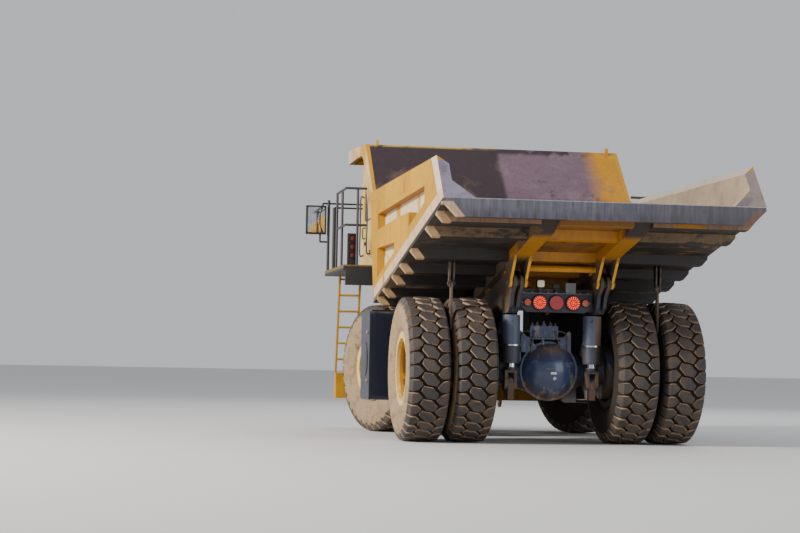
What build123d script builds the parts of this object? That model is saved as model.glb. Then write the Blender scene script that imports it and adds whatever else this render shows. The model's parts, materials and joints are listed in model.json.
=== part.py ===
from build123d import *
import math
import os

# A rigid-frame haul truck with a tipping bed, in millimetres
# +X is the truck's right, +Y is forward and +Z is up
# The origin is on the ground, at mid length and on the middle plane

# Driving sizes of the whole truck
WHEELBASE = 4300.0
REAR_OVERHANG = 3365.0
FRONT_OVERHANG = 1705.0
REAR_AXLE_Y = -1320.0
FRONT_AXLE_Y = REAR_AXLE_Y + WHEELBASE
TAIL_Y = REAR_AXLE_Y - REAR_OVERHANG
NOSE_Y = FRONT_AXLE_Y + FRONT_OVERHANG
TYRE_RADIUS = 1060.0
AXLE_Z = TYRE_RADIUS
RAIL_X = 640.0
SIDES = (("left", -1), ("right", 1))

# Tyres and rims
TYRE_HALF_WIDTH = 325.0
TREAD_HALF_WIDTH = 280.0
RIM_SEAT_RADIUS = 470.0
RIM_WALL = 25.0
FLANGE_RADIUS = 545.0
FLANGE_HALF = 240.0
FLANGE_THICK = 14.0
SEAT_GAP = 0.3
RUNNING_GAP = 0.5
REAR_TRACK_X = RAIL_X + 900
DUAL_SPACING = 695.0
FRONT_TRACK_X = 1757.0
REAR_SPINDLE_RADIUS = 180.0
FRONT_SPINDLE_RADIUS = 110.0

# Steering, with the front wheels stored turned to the left as they were parked
STEER_REST = 20.0
KINGPIN_X = 1200.0
STEER_ARM_IN = 60.0
STEER_ARM_BACK = 300.0
STEER_ARM_Z = 880.0
STEER_ANCHOR_X = 200.0
STEER_ANCHOR_Y = FRONT_AXLE_Y - 280

# Frame rails
RAIL_WIDTH = 150.0
RAIL_IN = RAIL_X - RAIL_WIDTH / 2
RAIL_OUT = RAIL_X + RAIL_WIDTH / 2
PIVOT_Y = -2270.0
PIVOT_Z = 2330.0
PIVOT_PIN_RADIUS = 55.0
PIN_GAP = 0.1
LUG_RADIUS = 105.0
LUG_SLOT_HALF = 25.0
EAR_RADIUS = 85.0

# Bed
BED_HALF_WIDTH = 2195.0
BED_INNER_X = 2045.0
BED_FLAT_X = 1760.0
BED_CHAMFER = BED_INNER_X - BED_FLAT_X
FLOOR_TAIL_Z = 3300.0
FLOOR_SLOPE = 0.195
FLOOR_THICK = 60.0
BED_RAIL_Z = 3900.0
BED_RAIL_DROP = 120.0
FRONT_FOOT_Y = 1100.0
FRONT_RAIL_Y = 1660.0
FRONT_TOP_Y = 2540.0
FRONT_TOP_Z = 4790.0
FRONT_THICK = 90.0
SIDE_TAIL_TOP_Y = TAIL_Y + 545
CANOPY_NOSE_Y = 4600.0
CANOPY_NOSE_Z = 4900.0
CANOPY_THICK = 50.0
FASCIA_OUT = 2165.0
FASCIA_THICK = 60.0
LIP_DEPTH = 250.0
LIP_THICK = 140.0
LIP_FOOT_X = 2000.0
BEAM_HALF_WIDTH = 130.0
BEAM_DEPTH = 150.0
PAD_THICK = 60.0
BOLSTER_DEPTH = 130.0
BOLSTER_WIDTH = 160.0
BOLSTER_OUT = 2190.0
BOLSTER_SLANT = 100.0
BOLSTER_YS = (TAIL_Y + 525, TAIL_Y + 1285, -2200.0, -1330.0, -620.0, 220.0, 800.0)

# Hoist cylinders, two telescoping stages each
HOIST_X = RAIL_OUT + 135
HOIST_FOOT_Y = -100.0
HOIST_FOOT_Z = 925.0
HOIST_EYE_Y = 300.0
HOIST_EYE_Z = 2180.0
HOIST_PIN_RADIUS = 50.0
HOIST_EYE_RADIUS = 62.0
HOIST_BRACKET_HALF = 130.0
HOIST_BRACKET_OUT = HOIST_X + 65
BARREL_RADIUS = 110.0
STAGE_RADIUS = 90.0
ROD_RADIUS = 66.0

# Rock ejectors, which hang between the twin tyres
EJECTOR_Y = -1930.0
EJECTOR_Z = 2300.0
EJECTOR_LENGTH = 680.0
EJECTOR_THICK = 30.0
EJECTOR_PIN_RADIUS = 20.0

# Rear suspension
STRUT_X = RAIL_X - 30
STRUT_Y = REAR_AXLE_Y - 430
STRUT_RADIUS = 135.0
STRUT_EYE_Z = AXLE_Z - 210
STRUT_FOOT_Z = AXLE_Z + 120
STRUT_TOP_Z = 1900.0
STRUT_LUG_HALF = 45.0
STRUT_FORK_HALF = 90.0

# Decks, cab and hood
DECK_TOP = 2730.0
DECK_THICK = 90.0
DECK_REAR_Y = FRONT_AXLE_Y - 1150
DECK_FRONT_Y = FRONT_AXLE_Y + 1230
DECK_OUT_X = 2600.0
CAB_LEFT_X = -1980.0
CAB_RIGHT_X = -640.0
CAB_REAR_Y = DECK_FRONT_Y - 1510
CAB_FRONT_Y = DECK_FRONT_Y - 10
CAB_TOP = 4550.0
CAB_WALL = 60.0
DOOR_REAR_Y = CAB_REAR_Y + 360
DOOR_FRONT_Y = CAB_REAR_Y + 1020
DOOR_BOTTOM = DECK_TOP + 70.0
DOOR_TOP = 4400.0
DOOR_GAP = 6.0
WINDOW_BOTTOM = 3520.0
WINDOW_TOP = 4330.0
GLASS_THICK = 14.0
HOOD_HALF = 520.0
HOOD_REAR_Y = DECK_REAR_Y + 570
HOOD_FRONT_Y = DECK_FRONT_Y - 30
HOOD_BOTTOM = 2260.0
ENGINE_REAR_Y = FRONT_AXLE_Y - 630
ENGINE_SEAT_Z = 1300.0
GEARBOX_SEAT_Z = 1120.0
CROSS_TUBE_RADIUS = 90.0
FRONT_STRUT_RADIUS = 140.0
TOWER_TOP = 2260.0
HANDRAIL_TOP = 3980.0
HANDRAIL_MIDDLE = 3380.0
HANDRAIL_RADIUS = 21.0
TANK_IN = 1020.0
TANK_OUT = 2320.0
TANK_REAR_Y = 680.0
TANK_FRONT_Y = 1580.0
MIRROR_IN = 2620.0
MIRROR_OUT = 2970.0
MIRROR_Y = FRONT_AXLE_Y + 1060

os.makedirs("parts", exist_ok=True)


def floor_z(y):
    """Height of the bed floor's top face at a given y."""
    return FLOOR_TAIL_Z - FLOOR_SLOPE * (y - TAIL_Y)


def beam_z(y):
    """Height of the lower face of the bed's long beams."""
    return floor_z(y) - FLOOR_THICK - BEAM_DEPTH


def outline(*points):
    """A closed flat face through points given in the sketch's own axes."""
    with BuildLine() as edge_loop:
        Polyline(*points, close=True)
    make_face(edge_loop.edges())


def block(x_span, y_span, z_span, mode=Mode.ADD):
    """A box between the given low and high values on each axis."""
    centre = [(low + high) / 2 for low, high in (x_span, y_span, z_span)]
    size = [high - low for low, high in (x_span, y_span, z_span)]
    with Locations(tuple(centre)):
        Box(*size, mode=mode)


def rod_x(x_span, y, z, radius, mode=Mode.ADD):
    """A round bar or bore along X."""
    with BuildSketch(Plane.YZ.offset(x_span[0])) as disc:
        with Locations((y, z)):
            Circle(radius)
    extrude(disc.sketch, amount=x_span[1] - x_span[0], mode=mode)


def plate_x(x_span, points, mode=Mode.ADD):
    """A plate whose outline is given as (y, z) points, spanning x_span."""
    with BuildSketch(Plane.YZ.offset(x_span[0])) as face:
        outline(*points)
    extrude(face.sketch, amount=x_span[1] - x_span[0], mode=mode)


def plate_y(y_span, points, mode=Mode.ADD):
    """A plate whose outline is given as (x, z) points, spanning y_span."""
    with BuildSketch(Plane.XZ.offset(-y_span[0])) as face:
        outline(*points)
    extrude(face.sketch, amount=-(y_span[1] - y_span[0]), mode=mode)


def tube(start, end):
    """A straight handrail tube between two points."""
    run = end - start
    with BuildSketch(Plane(origin=start, z_dir=run)) as ring:
        Circle(HANDRAIL_RADIUS)
    extrude(ring.sketch, amount=run.length)


def span(side, low, high):
    """An X span on one side of the truck, low to high."""
    return (low, high) if side > 0 else (-high, -low)


def save(piece, label):
    """Name a finished piece and write it as one STEP file."""
    piece.part.label = label
    export_step(piece.part, f"parts/{label}.step")


def axle_plane(centre, heading):
    """A plane with local x along an axle turned by heading degrees, local y up."""
    turn = math.radians(heading)
    along = (math.cos(turn), math.sin(turn), 0)
    normal = (math.sin(turn), -math.cos(turn), 0)
    return Plane(origin=centre, x_dir=along, z_dir=normal)


def axle_axis(plane):
    """The axle's line in an axle plane."""
    return Axis(origin=plane.origin, direction=plane.x_dir)


# Tyres, each a closed ring with its bulged sides and crowned tread
def tyre_ring(plane, middle):
    """One tyre, its middle offset along the axle plane's local x."""
    bore = RIM_SEAT_RADIUS + SEAT_GAP
    foot = FLANGE_HALF - SEAT_GAP
    shoulder_radius = TYRE_RADIUS - 50
    bulge_radius = FLANGE_RADIUS + 0.527 * (shoulder_radius - FLANGE_RADIUS)
    with BuildSketch(plane) as section:
        with BuildLine():
            Line((middle - foot, bore), (middle + foot, bore))
            for side in (-1, 1):
                heel = (middle + side * foot, bore)
                bead = (middle + side * foot, FLANGE_RADIUS)
                bulge = (middle + side * TYRE_HALF_WIDTH, bulge_radius)
                shoulder = (middle + side * TREAD_HALF_WIDTH, shoulder_radius)
                edge = (middle + side * (TREAD_HALF_WIDTH - 20), TYRE_RADIUS - 16)
                Line(heel, bead)
                ThreePointArc(bead, bulge, shoulder)
                Line(shoulder, edge)
            left_edge = (middle - TREAD_HALF_WIDTH + 20, TYRE_RADIUS - 16)
            right_edge = (middle + TREAD_HALF_WIDTH - 20, TYRE_RADIUS - 16)
            ThreePointArc(left_edge, (middle, TYRE_RADIUS), right_edge)
        make_face()
    revolve(section.sketch, axis=axle_axis(plane))


# Rear wheels: twin rims on one hub, with the planetary cover outside
for name, side in SIDES:
    hub_plane = axle_plane((side * REAR_TRACK_X, REAR_AXLE_Y, AXLE_Z), 0)
    with BuildPart() as rear_tyres:
        tyre_ring(hub_plane, -DUAL_SPACING / 2)
        tyre_ring(hub_plane, DUAL_SPACING / 2)
    save(rear_tyres, f"rear_tyres_{name}")

    rim_bore = RIM_SEAT_RADIUS - RIM_WALL
    rim_end = DUAL_SPACING / 2 + FLANGE_HALF + FLANGE_THICK
    inner_flange = DUAL_SPACING / 2 - FLANGE_HALF
    bore_radius = REAR_SPINDLE_RADIUS + RUNNING_GAP
    with BuildPart() as rear_rims:
        with BuildSketch(hub_plane):
            outline(
                (-side * rim_end, rim_bore),
                (-side * rim_end, FLANGE_RADIUS),
                (-side * (rim_end - FLANGE_THICK), FLANGE_RADIUS),
                (-side * (rim_end - FLANGE_THICK), RIM_SEAT_RADIUS),
                (-side * inner_flange, RIM_SEAT_RADIUS),
                (-side * inner_flange, FLANGE_RADIUS),
                (-side * (inner_flange - FLANGE_THICK), FLANGE_RADIUS),
                (-side * (inner_flange - FLANGE_THICK), RIM_SEAT_RADIUS),
                (side * (inner_flange - FLANGE_THICK), RIM_SEAT_RADIUS),
                (side * (inner_flange - FLANGE_THICK), FLANGE_RADIUS),
                (side * inner_flange, FLANGE_RADIUS),
                (side * inner_flange, RIM_SEAT_RADIUS),
                (side * (rim_end - FLANGE_THICK), RIM_SEAT_RADIUS),
                (side * (rim_end - FLANGE_THICK), FLANGE_RADIUS),
                (side * rim_end, FLANGE_RADIUS),
                (side * rim_end, rim_bore),
                (side * 290, rim_bore),
                (side * 270, 340),
                (side * 420, 300),
                (side * 465, 220),
                (side * 480, 0),
                (side * 200, 0),
                (side * 200, bore_radius),
                (-side * 250, bore_radius),
                (-side * 250, rim_bore),
            )
        revolve(axis=axle_axis(hub_plane))
    save(rear_rims, f"rear_rims_{name}")

# Front wheels, knuckles and steering cylinders, all turned to the parked angle
STEER_TURN = math.radians(STEER_REST)
for name, side in SIDES:
    kingpin = (side * KINGPIN_X, FRONT_AXLE_Y, AXLE_Z)
    knuckle_plane = axle_plane(kingpin, STEER_REST)
    reach = side * (FRONT_TRACK_X - KINGPIN_X)

    with BuildPart() as front_tyre:
        tyre_ring(knuckle_plane, reach)
    save(front_tyre, f"front_tyre_{name}")

    rim_bore = RIM_SEAT_RADIUS - RIM_WALL
    rim_end = FLANGE_HALF + FLANGE_THICK
    bore_radius = FRONT_SPINDLE_RADIUS + RUNNING_GAP
    with BuildPart() as front_rim:
        with BuildSketch(knuckle_plane):
            outline(
                (reach - side * rim_end, rim_bore),
                (reach - side * rim_end, FLANGE_RADIUS),
                (reach - side * FLANGE_HALF, FLANGE_RADIUS),
                (reach - side * FLANGE_HALF, RIM_SEAT_RADIUS),
                (reach + side * FLANGE_HALF, RIM_SEAT_RADIUS),
                (reach + side * FLANGE_HALF, FLANGE_RADIUS),
                (reach + side * rim_end, FLANGE_RADIUS),
                (reach + side * rim_end, rim_bore),
                (reach + side * 150, rim_bore - 5),
                (reach + side * 130, 340),
                (reach + side * 150, 240),
                (reach + side * 290, 205),
                (reach + side * 335, 130),
                (reach + side * 345, 0),
                (reach + side * 100, 0),
                (reach + side * 100, bore_radius),
                (reach - side * 60, bore_radius),
                (reach - side * 60, 300),
                (reach, rim_bore - 5),
            )
        revolve(axis=axle_axis(knuckle_plane))
    save(front_rim, f"front_rim_{name}")

    # The knuckle carries the spindle, brake housing, steering arm and chrome strut rod
    with BuildPart() as knuckle:
        with BuildSketch(knuckle_plane):
            outline(
                (reach - side * 460, 0),
                (reach - side * 460, 150),
                (reach - side * 330, 190),
                (reach - side * 310, 330),
                (reach - side * 75, 330),
                (reach - side * 75, FRONT_SPINDLE_RADIUS),
                (reach + side * 90, FRONT_SPINDLE_RADIUS),
                (reach + side * 90, 0),
            )
        revolve(axis=axle_axis(knuckle_plane))
        with BuildSketch(Plane.XY.offset(820)):
            with Locations((kingpin[0], kingpin[1])):
                Circle(135)
        extrude(amount=420)
        with BuildSketch(Plane.XY.offset(1240)):
            with Locations((kingpin[0], kingpin[1])):
                Circle(95)
        extrude(amount=320)
        arm_plane = Plane(
            origin=(kingpin[0], kingpin[1], STEER_ARM_Z - 60),
            x_dir=(math.cos(STEER_TURN), math.sin(STEER_TURN), 0),
            z_dir=(0, 0, 1),
        )
        with BuildSketch(arm_plane):
            outline(
                (-side * 130, 0),
                (-side * (STEER_ARM_IN + 55), -STEER_ARM_BACK),
                (-side * (STEER_ARM_IN - 55), -STEER_ARM_BACK),
                (side * 60, 0),
            )
            with Locations((-side * STEER_ARM_IN, -STEER_ARM_BACK)):
                Circle(55)
        extrude(amount=50)
    save(knuckle, f"knuckle_{name}")

    # The cylinder runs from the frame's anchor to a ball joint over the arm's end
    arm_x = side * -STEER_ARM_IN
    arm_y = -STEER_ARM_BACK
    ball_x = kingpin[0] + arm_x * math.cos(STEER_TURN) - arm_y * math.sin(STEER_TURN)
    ball_y = kingpin[1] + arm_x * math.sin(STEER_TURN) + arm_y * math.cos(STEER_TURN)
    anchor = (side * STEER_ANCHOR_X, STEER_ANCHOR_Y, STEER_ARM_Z + 55)
    run = (ball_x - anchor[0], ball_y - anchor[1], 0)
    run_length = math.hypot(run[0], run[1])
    cylinder_plane = Plane(origin=anchor, x_dir=(run[0], run[1], 0), z_dir=(run[1], -run[0], 0))
    barrel_end = 600
    with BuildPart() as steer_barrel:
        with BuildSketch(cylinder_plane):
            outline(
                (55, 0),
                (55, 50),
                (65, 60),
                (barrel_end, 60),
                (barrel_end, 32 + RUNNING_GAP),
                (90, 32 + RUNNING_GAP),
                (90, 0),
            )
        revolve(axis=axle_axis(cylinder_plane))
        with BuildSketch(Plane.XY.offset(anchor[2] - 40)):
            with Locations((anchor[0], anchor[1])):
                Circle(58)
        extrude(amount=80)
        with BuildSketch(Plane.XY.offset(anchor[2] - 40)):
            with Locations((anchor[0], anchor[1])):
                Circle(25 + PIN_GAP)
        extrude(amount=80, mode=Mode.SUBTRACT)
    save(steer_barrel, f"steer_barrel_{name}")

    rod_start = run_length - 590
    with BuildPart() as steer_rod:
        with BuildSketch(cylinder_plane):
            outline((rod_start, 0), (rod_start, 32), (run_length, 32), (run_length, 0))
        revolve(axis=axle_axis(cylinder_plane))
        with BuildSketch(Plane.XY.offset(anchor[2] - 60)):
            with Locations((ball_x, ball_y)):
                Circle(52)
        extrude(amount=100)
    save(steer_rod, f"steer_rod_{name}")

# Frame rails with the hoist brackets and the bed's pivot lugs
RAIL_STEP_Z = 1560.0
for name, side in SIDES:
    rail_span = span(side, RAIL_IN, RAIL_OUT)
    with BuildPart() as rail:
        plate_x(
            rail_span,
            (
                (NOSE_Y - 355, 1060),
                (NOSE_Y - 355, 1400),
                (DECK_REAR_Y + 270, RAIL_STEP_Z),
                (DECK_REAR_Y + 70, RAIL_STEP_Z),
                (1250, beam_z(1250) - PAD_THICK),
                (-1950, beam_z(-1950) - PAD_THICK),
                (PIVOT_Y + 190, PIVOT_Z + 165),
                (PIVOT_Y - 10, PIVOT_Z + 100),
                (PIVOT_Y - 100, PIVOT_Z + 30),
                (PIVOT_Y - 100, PIVOT_Z - 60),
                (PIVOT_Y + 70, PIVOT_Z - 180),
                (PIVOT_Y + 150, PIVOT_Z - 350),
                (PIVOT_Y + 270, STRUT_TOP_Z),
                (REAR_AXLE_Y - 240, STRUT_TOP_Z - 20),
                (REAR_AXLE_Y - 60, 1640),
                (REAR_AXLE_Y + 420, 1600),
                (HOIST_FOOT_Y - 420, 1200),
                (HOIST_FOOT_Y - 160, HOIST_FOOT_Z - 100),
                (HOIST_FOOT_Y + 160, HOIST_FOOT_Z - 100),
                (420, 1060),
            ),
        )
        rod_x(rail_span, PIVOT_Y, PIVOT_Z, LUG_RADIUS)
        # A slot splits the rail's tail into two lugs
        block(
            span(side, RAIL_X - LUG_SLOT_HALF, RAIL_X + LUG_SLOT_HALF),
            (PIVOT_Y - LUG_RADIUS - 5, PIVOT_Y + 230),
            (STRUT_TOP_Z - 50, PIVOT_Z + 250),
            mode=Mode.SUBTRACT,
        )
        rod_x(span(side, RAIL_X - 145, RAIL_X + 145), PIVOT_Y, PIVOT_Z, PIVOT_PIN_RADIUS)
        rod_x(span(side, RAIL_OUT, HOIST_X + 75), HOIST_FOOT_Y, HOIST_FOOT_Z, HOIST_PIN_RADIUS)
    save(rail, f"frame_rail_{name}")

# Cross members, the front one with its strut towers
with BuildPart() as cross_members:
    block((-RAIL_IN, RAIL_IN), (-1950, -1820), (1930, 2250))
    rod_x((-RAIL_IN, RAIL_IN), HOIST_FOOT_Y, HOIST_FOOT_Z, CROSS_TUBE_RADIUS)
    rod_x((-RAIL_IN, RAIL_IN), 1500, 1600, CROSS_TUBE_RADIUS)
    block((-RAIL_IN, RAIL_IN), (560, 700), (1060, GEARBOX_SEAT_Z))
    block((-RAIL_IN, RAIL_IN), (FRONT_AXLE_Y - 380, FRONT_AXLE_Y + 320), (1080, ENGINE_SEAT_Z))
    for name, side in SIDES:
        anchor_x = side * STEER_ANCHOR_X
        for low, high in ((STEER_ARM_Z - 20, STEER_ARM_Z + 10), (STEER_ARM_Z + 100, 1080)):
            with BuildSketch(Plane.XY.offset(low)):
                with Locations((anchor_x - side * 15, STEER_ANCHOR_Y)):
                    Rectangle(110, 110)
            extrude(amount=high - low)
        with BuildSketch(Plane.XY.offset(STEER_ARM_Z - 20)):
            with Locations((anchor_x, STEER_ANCHOR_Y)):
                Circle(25)
        extrude(amount=220)
    # Towers that hold the front struts out from the rails
    tower_out = KINGPIN_X - FRONT_STRUT_RADIUS - SEAT_GAP
    for name, side in SIDES:
        plate_y(
            (FRONT_AXLE_Y - 190, FRONT_AXLE_Y + 190),
            (
                (side * (RAIL_OUT + SEAT_GAP), 1180),
                (side * tower_out, 1620),
                (side * tower_out, TOWER_TOP),
                (side * (RAIL_OUT + SEAT_GAP), TOWER_TOP),
            ),
        )
save(cross_members, "frame_cross_members")

with BuildPart() as front_struts:
    for name, side in SIDES:
        with BuildSketch(Plane.XY.offset(1330)):
            with Locations((side * KINGPIN_X, FRONT_AXLE_Y)):
                Circle(FRONT_STRUT_RADIUS)
        extrude(amount=1020)
        with BuildSketch(Plane.XY.offset(1330)):
            with Locations((side * KINGPIN_X, FRONT_AXLE_Y)):
                Circle(95 + RUNNING_GAP)
        extrude(amount=300, mode=Mode.SUBTRACT)
save(front_struts, "front_struts")

# Rear axle: banjo housing with a domed cover, tapered tubes and spindles
with BuildPart() as rear_axle:
    # The domed cover is part of a ball centred on the banjo's own axis
    dome_radius = 447.0
    dome_centre = -1610 + math.sqrt(dome_radius**2 - 405**2)
    dome_end = dome_centre - dome_radius
    half_turn = math.asin(405 / dome_radius) / 2
    dome_middle = (
        dome_radius * math.sin(half_turn),
        dome_centre - dome_radius * math.cos(half_turn),
    )
    # The banjo's half outline as (radius, y), from its nose back to the domed cover
    with BuildSketch(Plane.XY.offset(AXLE_Z)):
        with BuildLine():
            Polyline(
                (0, -820),
                (110, -820),
                (120, -900),
                (260, -1000),
                (380, -1120),
                (400, -1560),
                (435, -1560),
                (435, -1610),
                (405, -1610),
            )
            ThreePointArc((405, -1610), dome_middle, (0, dome_end))
            Line((0, dome_end), (0, -820))
        make_face()
    revolve(axis=Axis(origin=(0, 0, AXLE_Z), direction=(0, 1, 0)))
    axle_half = (
        (300, 300),
        (330, 280),
        (560, 210),
        (REAR_TRACK_X - 690, 200),
        (REAR_TRACK_X - 690, 400),
        (REAR_TRACK_X - 260, 400),
        (REAR_TRACK_X - 260, REAR_SPINDLE_RADIUS),
        (REAR_TRACK_X + 190, REAR_SPINDLE_RADIUS),
        (REAR_TRACK_X + 190, 0),
    )
    tube_plane = axle_plane((0, REAR_AXLE_Y, AXLE_Z), 0)
    with BuildSketch(tube_plane):
        left_half = [(-x, radius) for x, radius in reversed(axle_half)]
        outline(*left_half, *axle_half)
    revolve(axis=axle_axis(tube_plane))
    for name, side in SIDES:
        plate_x(
            span(side, STRUT_X - STRUT_LUG_HALF, STRUT_X + STRUT_LUG_HALF),
            (
                (REAR_AXLE_Y, AXLE_Z + 150),
                (REAR_AXLE_Y - 190, AXLE_Z + 60),
                (STRUT_Y - 40, STRUT_EYE_Z + 80),
                (STRUT_Y - 65, STRUT_EYE_Z + 30),
                (STRUT_Y - 55, STRUT_EYE_Z - 210),
                (STRUT_Y + 65, STRUT_EYE_Z - 210),
                (REAR_AXLE_Y, AXLE_Z - 190),
            ),
        )
        # The locating frame runs forward to its ball at the hoist cross tube
        with BuildSketch(Plane.XY.offset(AXLE_Z - 130)):
            outline(
                (side * 20, HOIST_FOOT_Y - 100),
                (side * 110, HOIST_FOOT_Y - 130),
                (side * 430, REAR_AXLE_Y + 160),
                (side * 270, REAR_AXLE_Y + 160),
                (side * 20, HOIST_FOOT_Y - 330),
            )
        extrude(amount=90)
    block(
        (-80, 80),
        (HOIST_FOOT_Y - 330, HOIST_FOOT_Y - CROSS_TUBE_RADIUS - SEAT_GAP),
        (AXLE_Z - 155, HOIST_FOOT_Z + 75),
    )
    # Upright wing plates on the banjo, with a web each and a valve block on a bar between them
    wing_y = REAR_AXLE_Y - 330
    for foot_in, foot_out, web_x in ((-200, -470, -440), (90, 320, 290)):
        plate_y(
            (wing_y, wing_y + 40),
            (
                (foot_in, AXLE_Z + 270),
                (foot_in, AXLE_Z + 370),
                (web_x, AXLE_Z + 590),
                (foot_out, AXLE_Z + 560),
                (foot_out, AXLE_Z + 270),
            ),
        )
        block((web_x - 20, web_x + 20), (wing_y + 40, REAR_AXLE_Y), (AXLE_Z + 140, AXLE_Z + 340))
    rod_x((-430, 280), wing_y + 20, AXLE_Z + 480, 25)
    block((-300, 120), (wing_y - 20, wing_y + 60), (AXLE_Z + 495, AXLE_Z + 660))
    with BuildSketch(Plane.XY.offset(AXLE_Z + 300)):
        with Locations((-90, wing_y + 50)):
            Circle(22)
    extrude(amount=200)
save(rear_axle, "rear_axle_housing")

# Rear struts and their chrome rods with forked feet
with BuildPart() as rear_struts:
    for name, side in SIDES:
        for low, high, radius in (
            (STRUT_FOOT_Z, STRUT_TOP_Z - 30, STRUT_RADIUS),
            (STRUT_FOOT_Z + 235, STRUT_FOOT_Z + 265, STRUT_RADIUS + 14),
            (STRUT_TOP_Z - 60, STRUT_TOP_Z - 21, 85),
        ):
            with BuildSketch(Plane.XY.offset(low)):
                with Locations((side * STRUT_X, STRUT_Y)):
                    Circle(radius)
            extrude(amount=high - low)
        with BuildSketch(Plane.XY.offset(STRUT_FOOT_Z)):
            with Locations((side * STRUT_X, STRUT_Y)):
                Circle(80 + SEAT_GAP)
        extrude(amount=150, mode=Mode.SUBTRACT)
save(rear_struts, "rear_struts")

with BuildPart() as strut_rods:
    for name, side in SIDES:
        for low, high, radius in (
            (STRUT_FOOT_Z - 110, STRUT_FOOT_Z - 70, 95),
            (STRUT_FOOT_Z - 70, STRUT_FOOT_Z + 140, 80),
        ):
            with BuildSketch(Plane.XY.offset(low)):
                with Locations((side * STRUT_X, STRUT_Y)):
                    Circle(radius)
            extrude(amount=high - low)
        block(
            span(side, STRUT_X - STRUT_FORK_HALF, STRUT_X + STRUT_FORK_HALF),
            (STRUT_Y - 70, STRUT_Y + 70),
            (STRUT_FOOT_Z - 150, STRUT_FOOT_Z - 110),
        )
        prong_in = STRUT_LUG_HALF + SEAT_GAP
        for low, high in ((-STRUT_FORK_HALF, -prong_in), (prong_in, STRUT_FORK_HALF)):
            prong_span = span(side, STRUT_X + low, STRUT_X + high)
            block(prong_span, (STRUT_Y - 60, STRUT_Y + 60), (STRUT_EYE_Z, STRUT_FOOT_Z - 140))
            rod_x(prong_span, STRUT_Y, STRUT_EYE_Z, 60)
save(strut_rods, "rear_strut_rods")

# Tail lamp bar with its lamps
with BuildPart() as lamp_bar:
    plate_y(
        (-2010, -1950 - SEAT_GAP),
        ((-530, 2190), (530, 2190), (530, 1990), (430, 1910), (-430, 1910), (-530, 1990)),
    )
    block((-530, 530), (-2030, -2010), (2175, 2190))
    # A junction box, and the work lamp's foot and housing
    block((130, 280), (-2050, -1955), (2180, 2340))
    block((-260, -220), (-2005, -1975), (2180, 2275))
    block((-295, -185), (-2040, -1960), (2270, 2375))
save(lamp_bar, "tail_lamp_bar")

TAIL_LAMPS = ((-250, 100), (0, 100), (250, 100), (-430, 48), (430, 48))
with BuildPart() as tail_lamps:
    for lamp_x, radius in TAIL_LAMPS:
        with BuildSketch(Plane.XZ.offset(2010 + SEAT_GAP)):
            with Locations((lamp_x, 2050)):
                Circle(radius)
        extrude(amount=28)
save(tail_lamps, "tail_lamps")

# Front bumper with lamp pockets and tow eyes
BUMPER_REAR_Y = NOSE_Y - 355 + SEAT_GAP
LAMP_X = 1330.0
LAMP_HALF_WIDTH = 260.0
TOW_X = 640.0
TOW_Y = NOSE_Y - 95
TOW_Z = 455.0
TOW_THICK = 50.0
TOW_BORE_RADIUS = 30.0
with BuildPart() as bumper:
    block((-2350, 2350), (BUMPER_REAR_Y, NOSE_Y), (520, 960))
    block((-RAIL_OUT, RAIL_OUT), (BUMPER_REAR_Y, NOSE_Y - 155), (960, 1400))
    vertical = bumper.edges().filter_by(Axis.Z).group_by(Axis.Y)[-1]
    chamfer(vertical, length=90)
    for side in (-1, 1):
        block(
            (side * LAMP_X - LAMP_HALF_WIDTH, side * LAMP_X + LAMP_HALF_WIDTH),
            (NOSE_Y - 90, NOSE_Y),
            (660, 850),
            mode=Mode.SUBTRACT,
        )
        # Tow lug under the bumper
        lug_span = span(side, TOW_X - TOW_THICK / 2, TOW_X + TOW_THICK / 2)
        block(lug_span, (TOW_Y - 90, TOW_Y + 60), (TOW_Z, 525))
        rod_x(lug_span, TOW_Y, TOW_Z, 60)
        rod_x(lug_span, TOW_Y, TOW_Z, TOW_BORE_RADIUS, mode=Mode.SUBTRACT)
save(bumper, "front_bumper")

with BuildPart() as headlamps:
    for side in (-1, 1):
        for shift in (-120, 120):
            block(
                (side * LAMP_X + shift - 100, side * LAMP_X + shift + 100),
                (NOSE_Y - 90 + SEAT_GAP, NOSE_Y - 20),
                (675, 835),
            )
save(headlamps, "headlamps")

# Engine and transmission as plain masses, with the drive shafts between
with BuildPart() as engine:
    block(
        (-430, 430),
        (ENGINE_REAR_Y, FRONT_AXLE_Y + 970),
        (ENGINE_SEAT_Z + SEAT_GAP, HOOD_BOTTOM - SEAT_GAP),
    )
    block((-300, 300), (150, 1150), (GEARBOX_SEAT_Z + SEAT_GAP, 1590))
save(engine, "engine_and_transmission")

with BuildPart() as driveshaft:
    for front_y, front_z, rear_y, rear_z, radius in (
        (ENGINE_REAR_Y - SEAT_GAP, 1480, 1150 + SEAT_GAP, 1300, 55),
        (150 - SEAT_GAP, 1200, -820 + SEAT_GAP, AXLE_Z, 60),
    ):
        rear_end = BuildSketch(Plane(origin=(0, rear_y, rear_z), x_dir=(1, 0, 0), z_dir=(0, 1, 0)))
        front_end = BuildSketch(Plane(origin=(0, front_y, front_z), x_dir=(1, 0, 0), z_dir=(0, 1, 0)))
        with rear_end:
            Circle(radius)
        with front_end:
            Circle(radius)
        loft((rear_end.sketch, front_end.sketch))
save(driveshaft, "driveshaft")

# Hood and radiator grille with slats
with BuildPart() as hood:
    block((-HOOD_HALF, HOOD_HALF), (HOOD_REAR_Y, HOOD_FRONT_Y), (HOOD_BOTTOM, 3200))
    top_edges = hood.edges().group_by(Axis.Z)[-1].filter_by(Axis.Y)
    fillet(top_edges, radius=90)
save(hood, "engine_hood")

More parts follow.
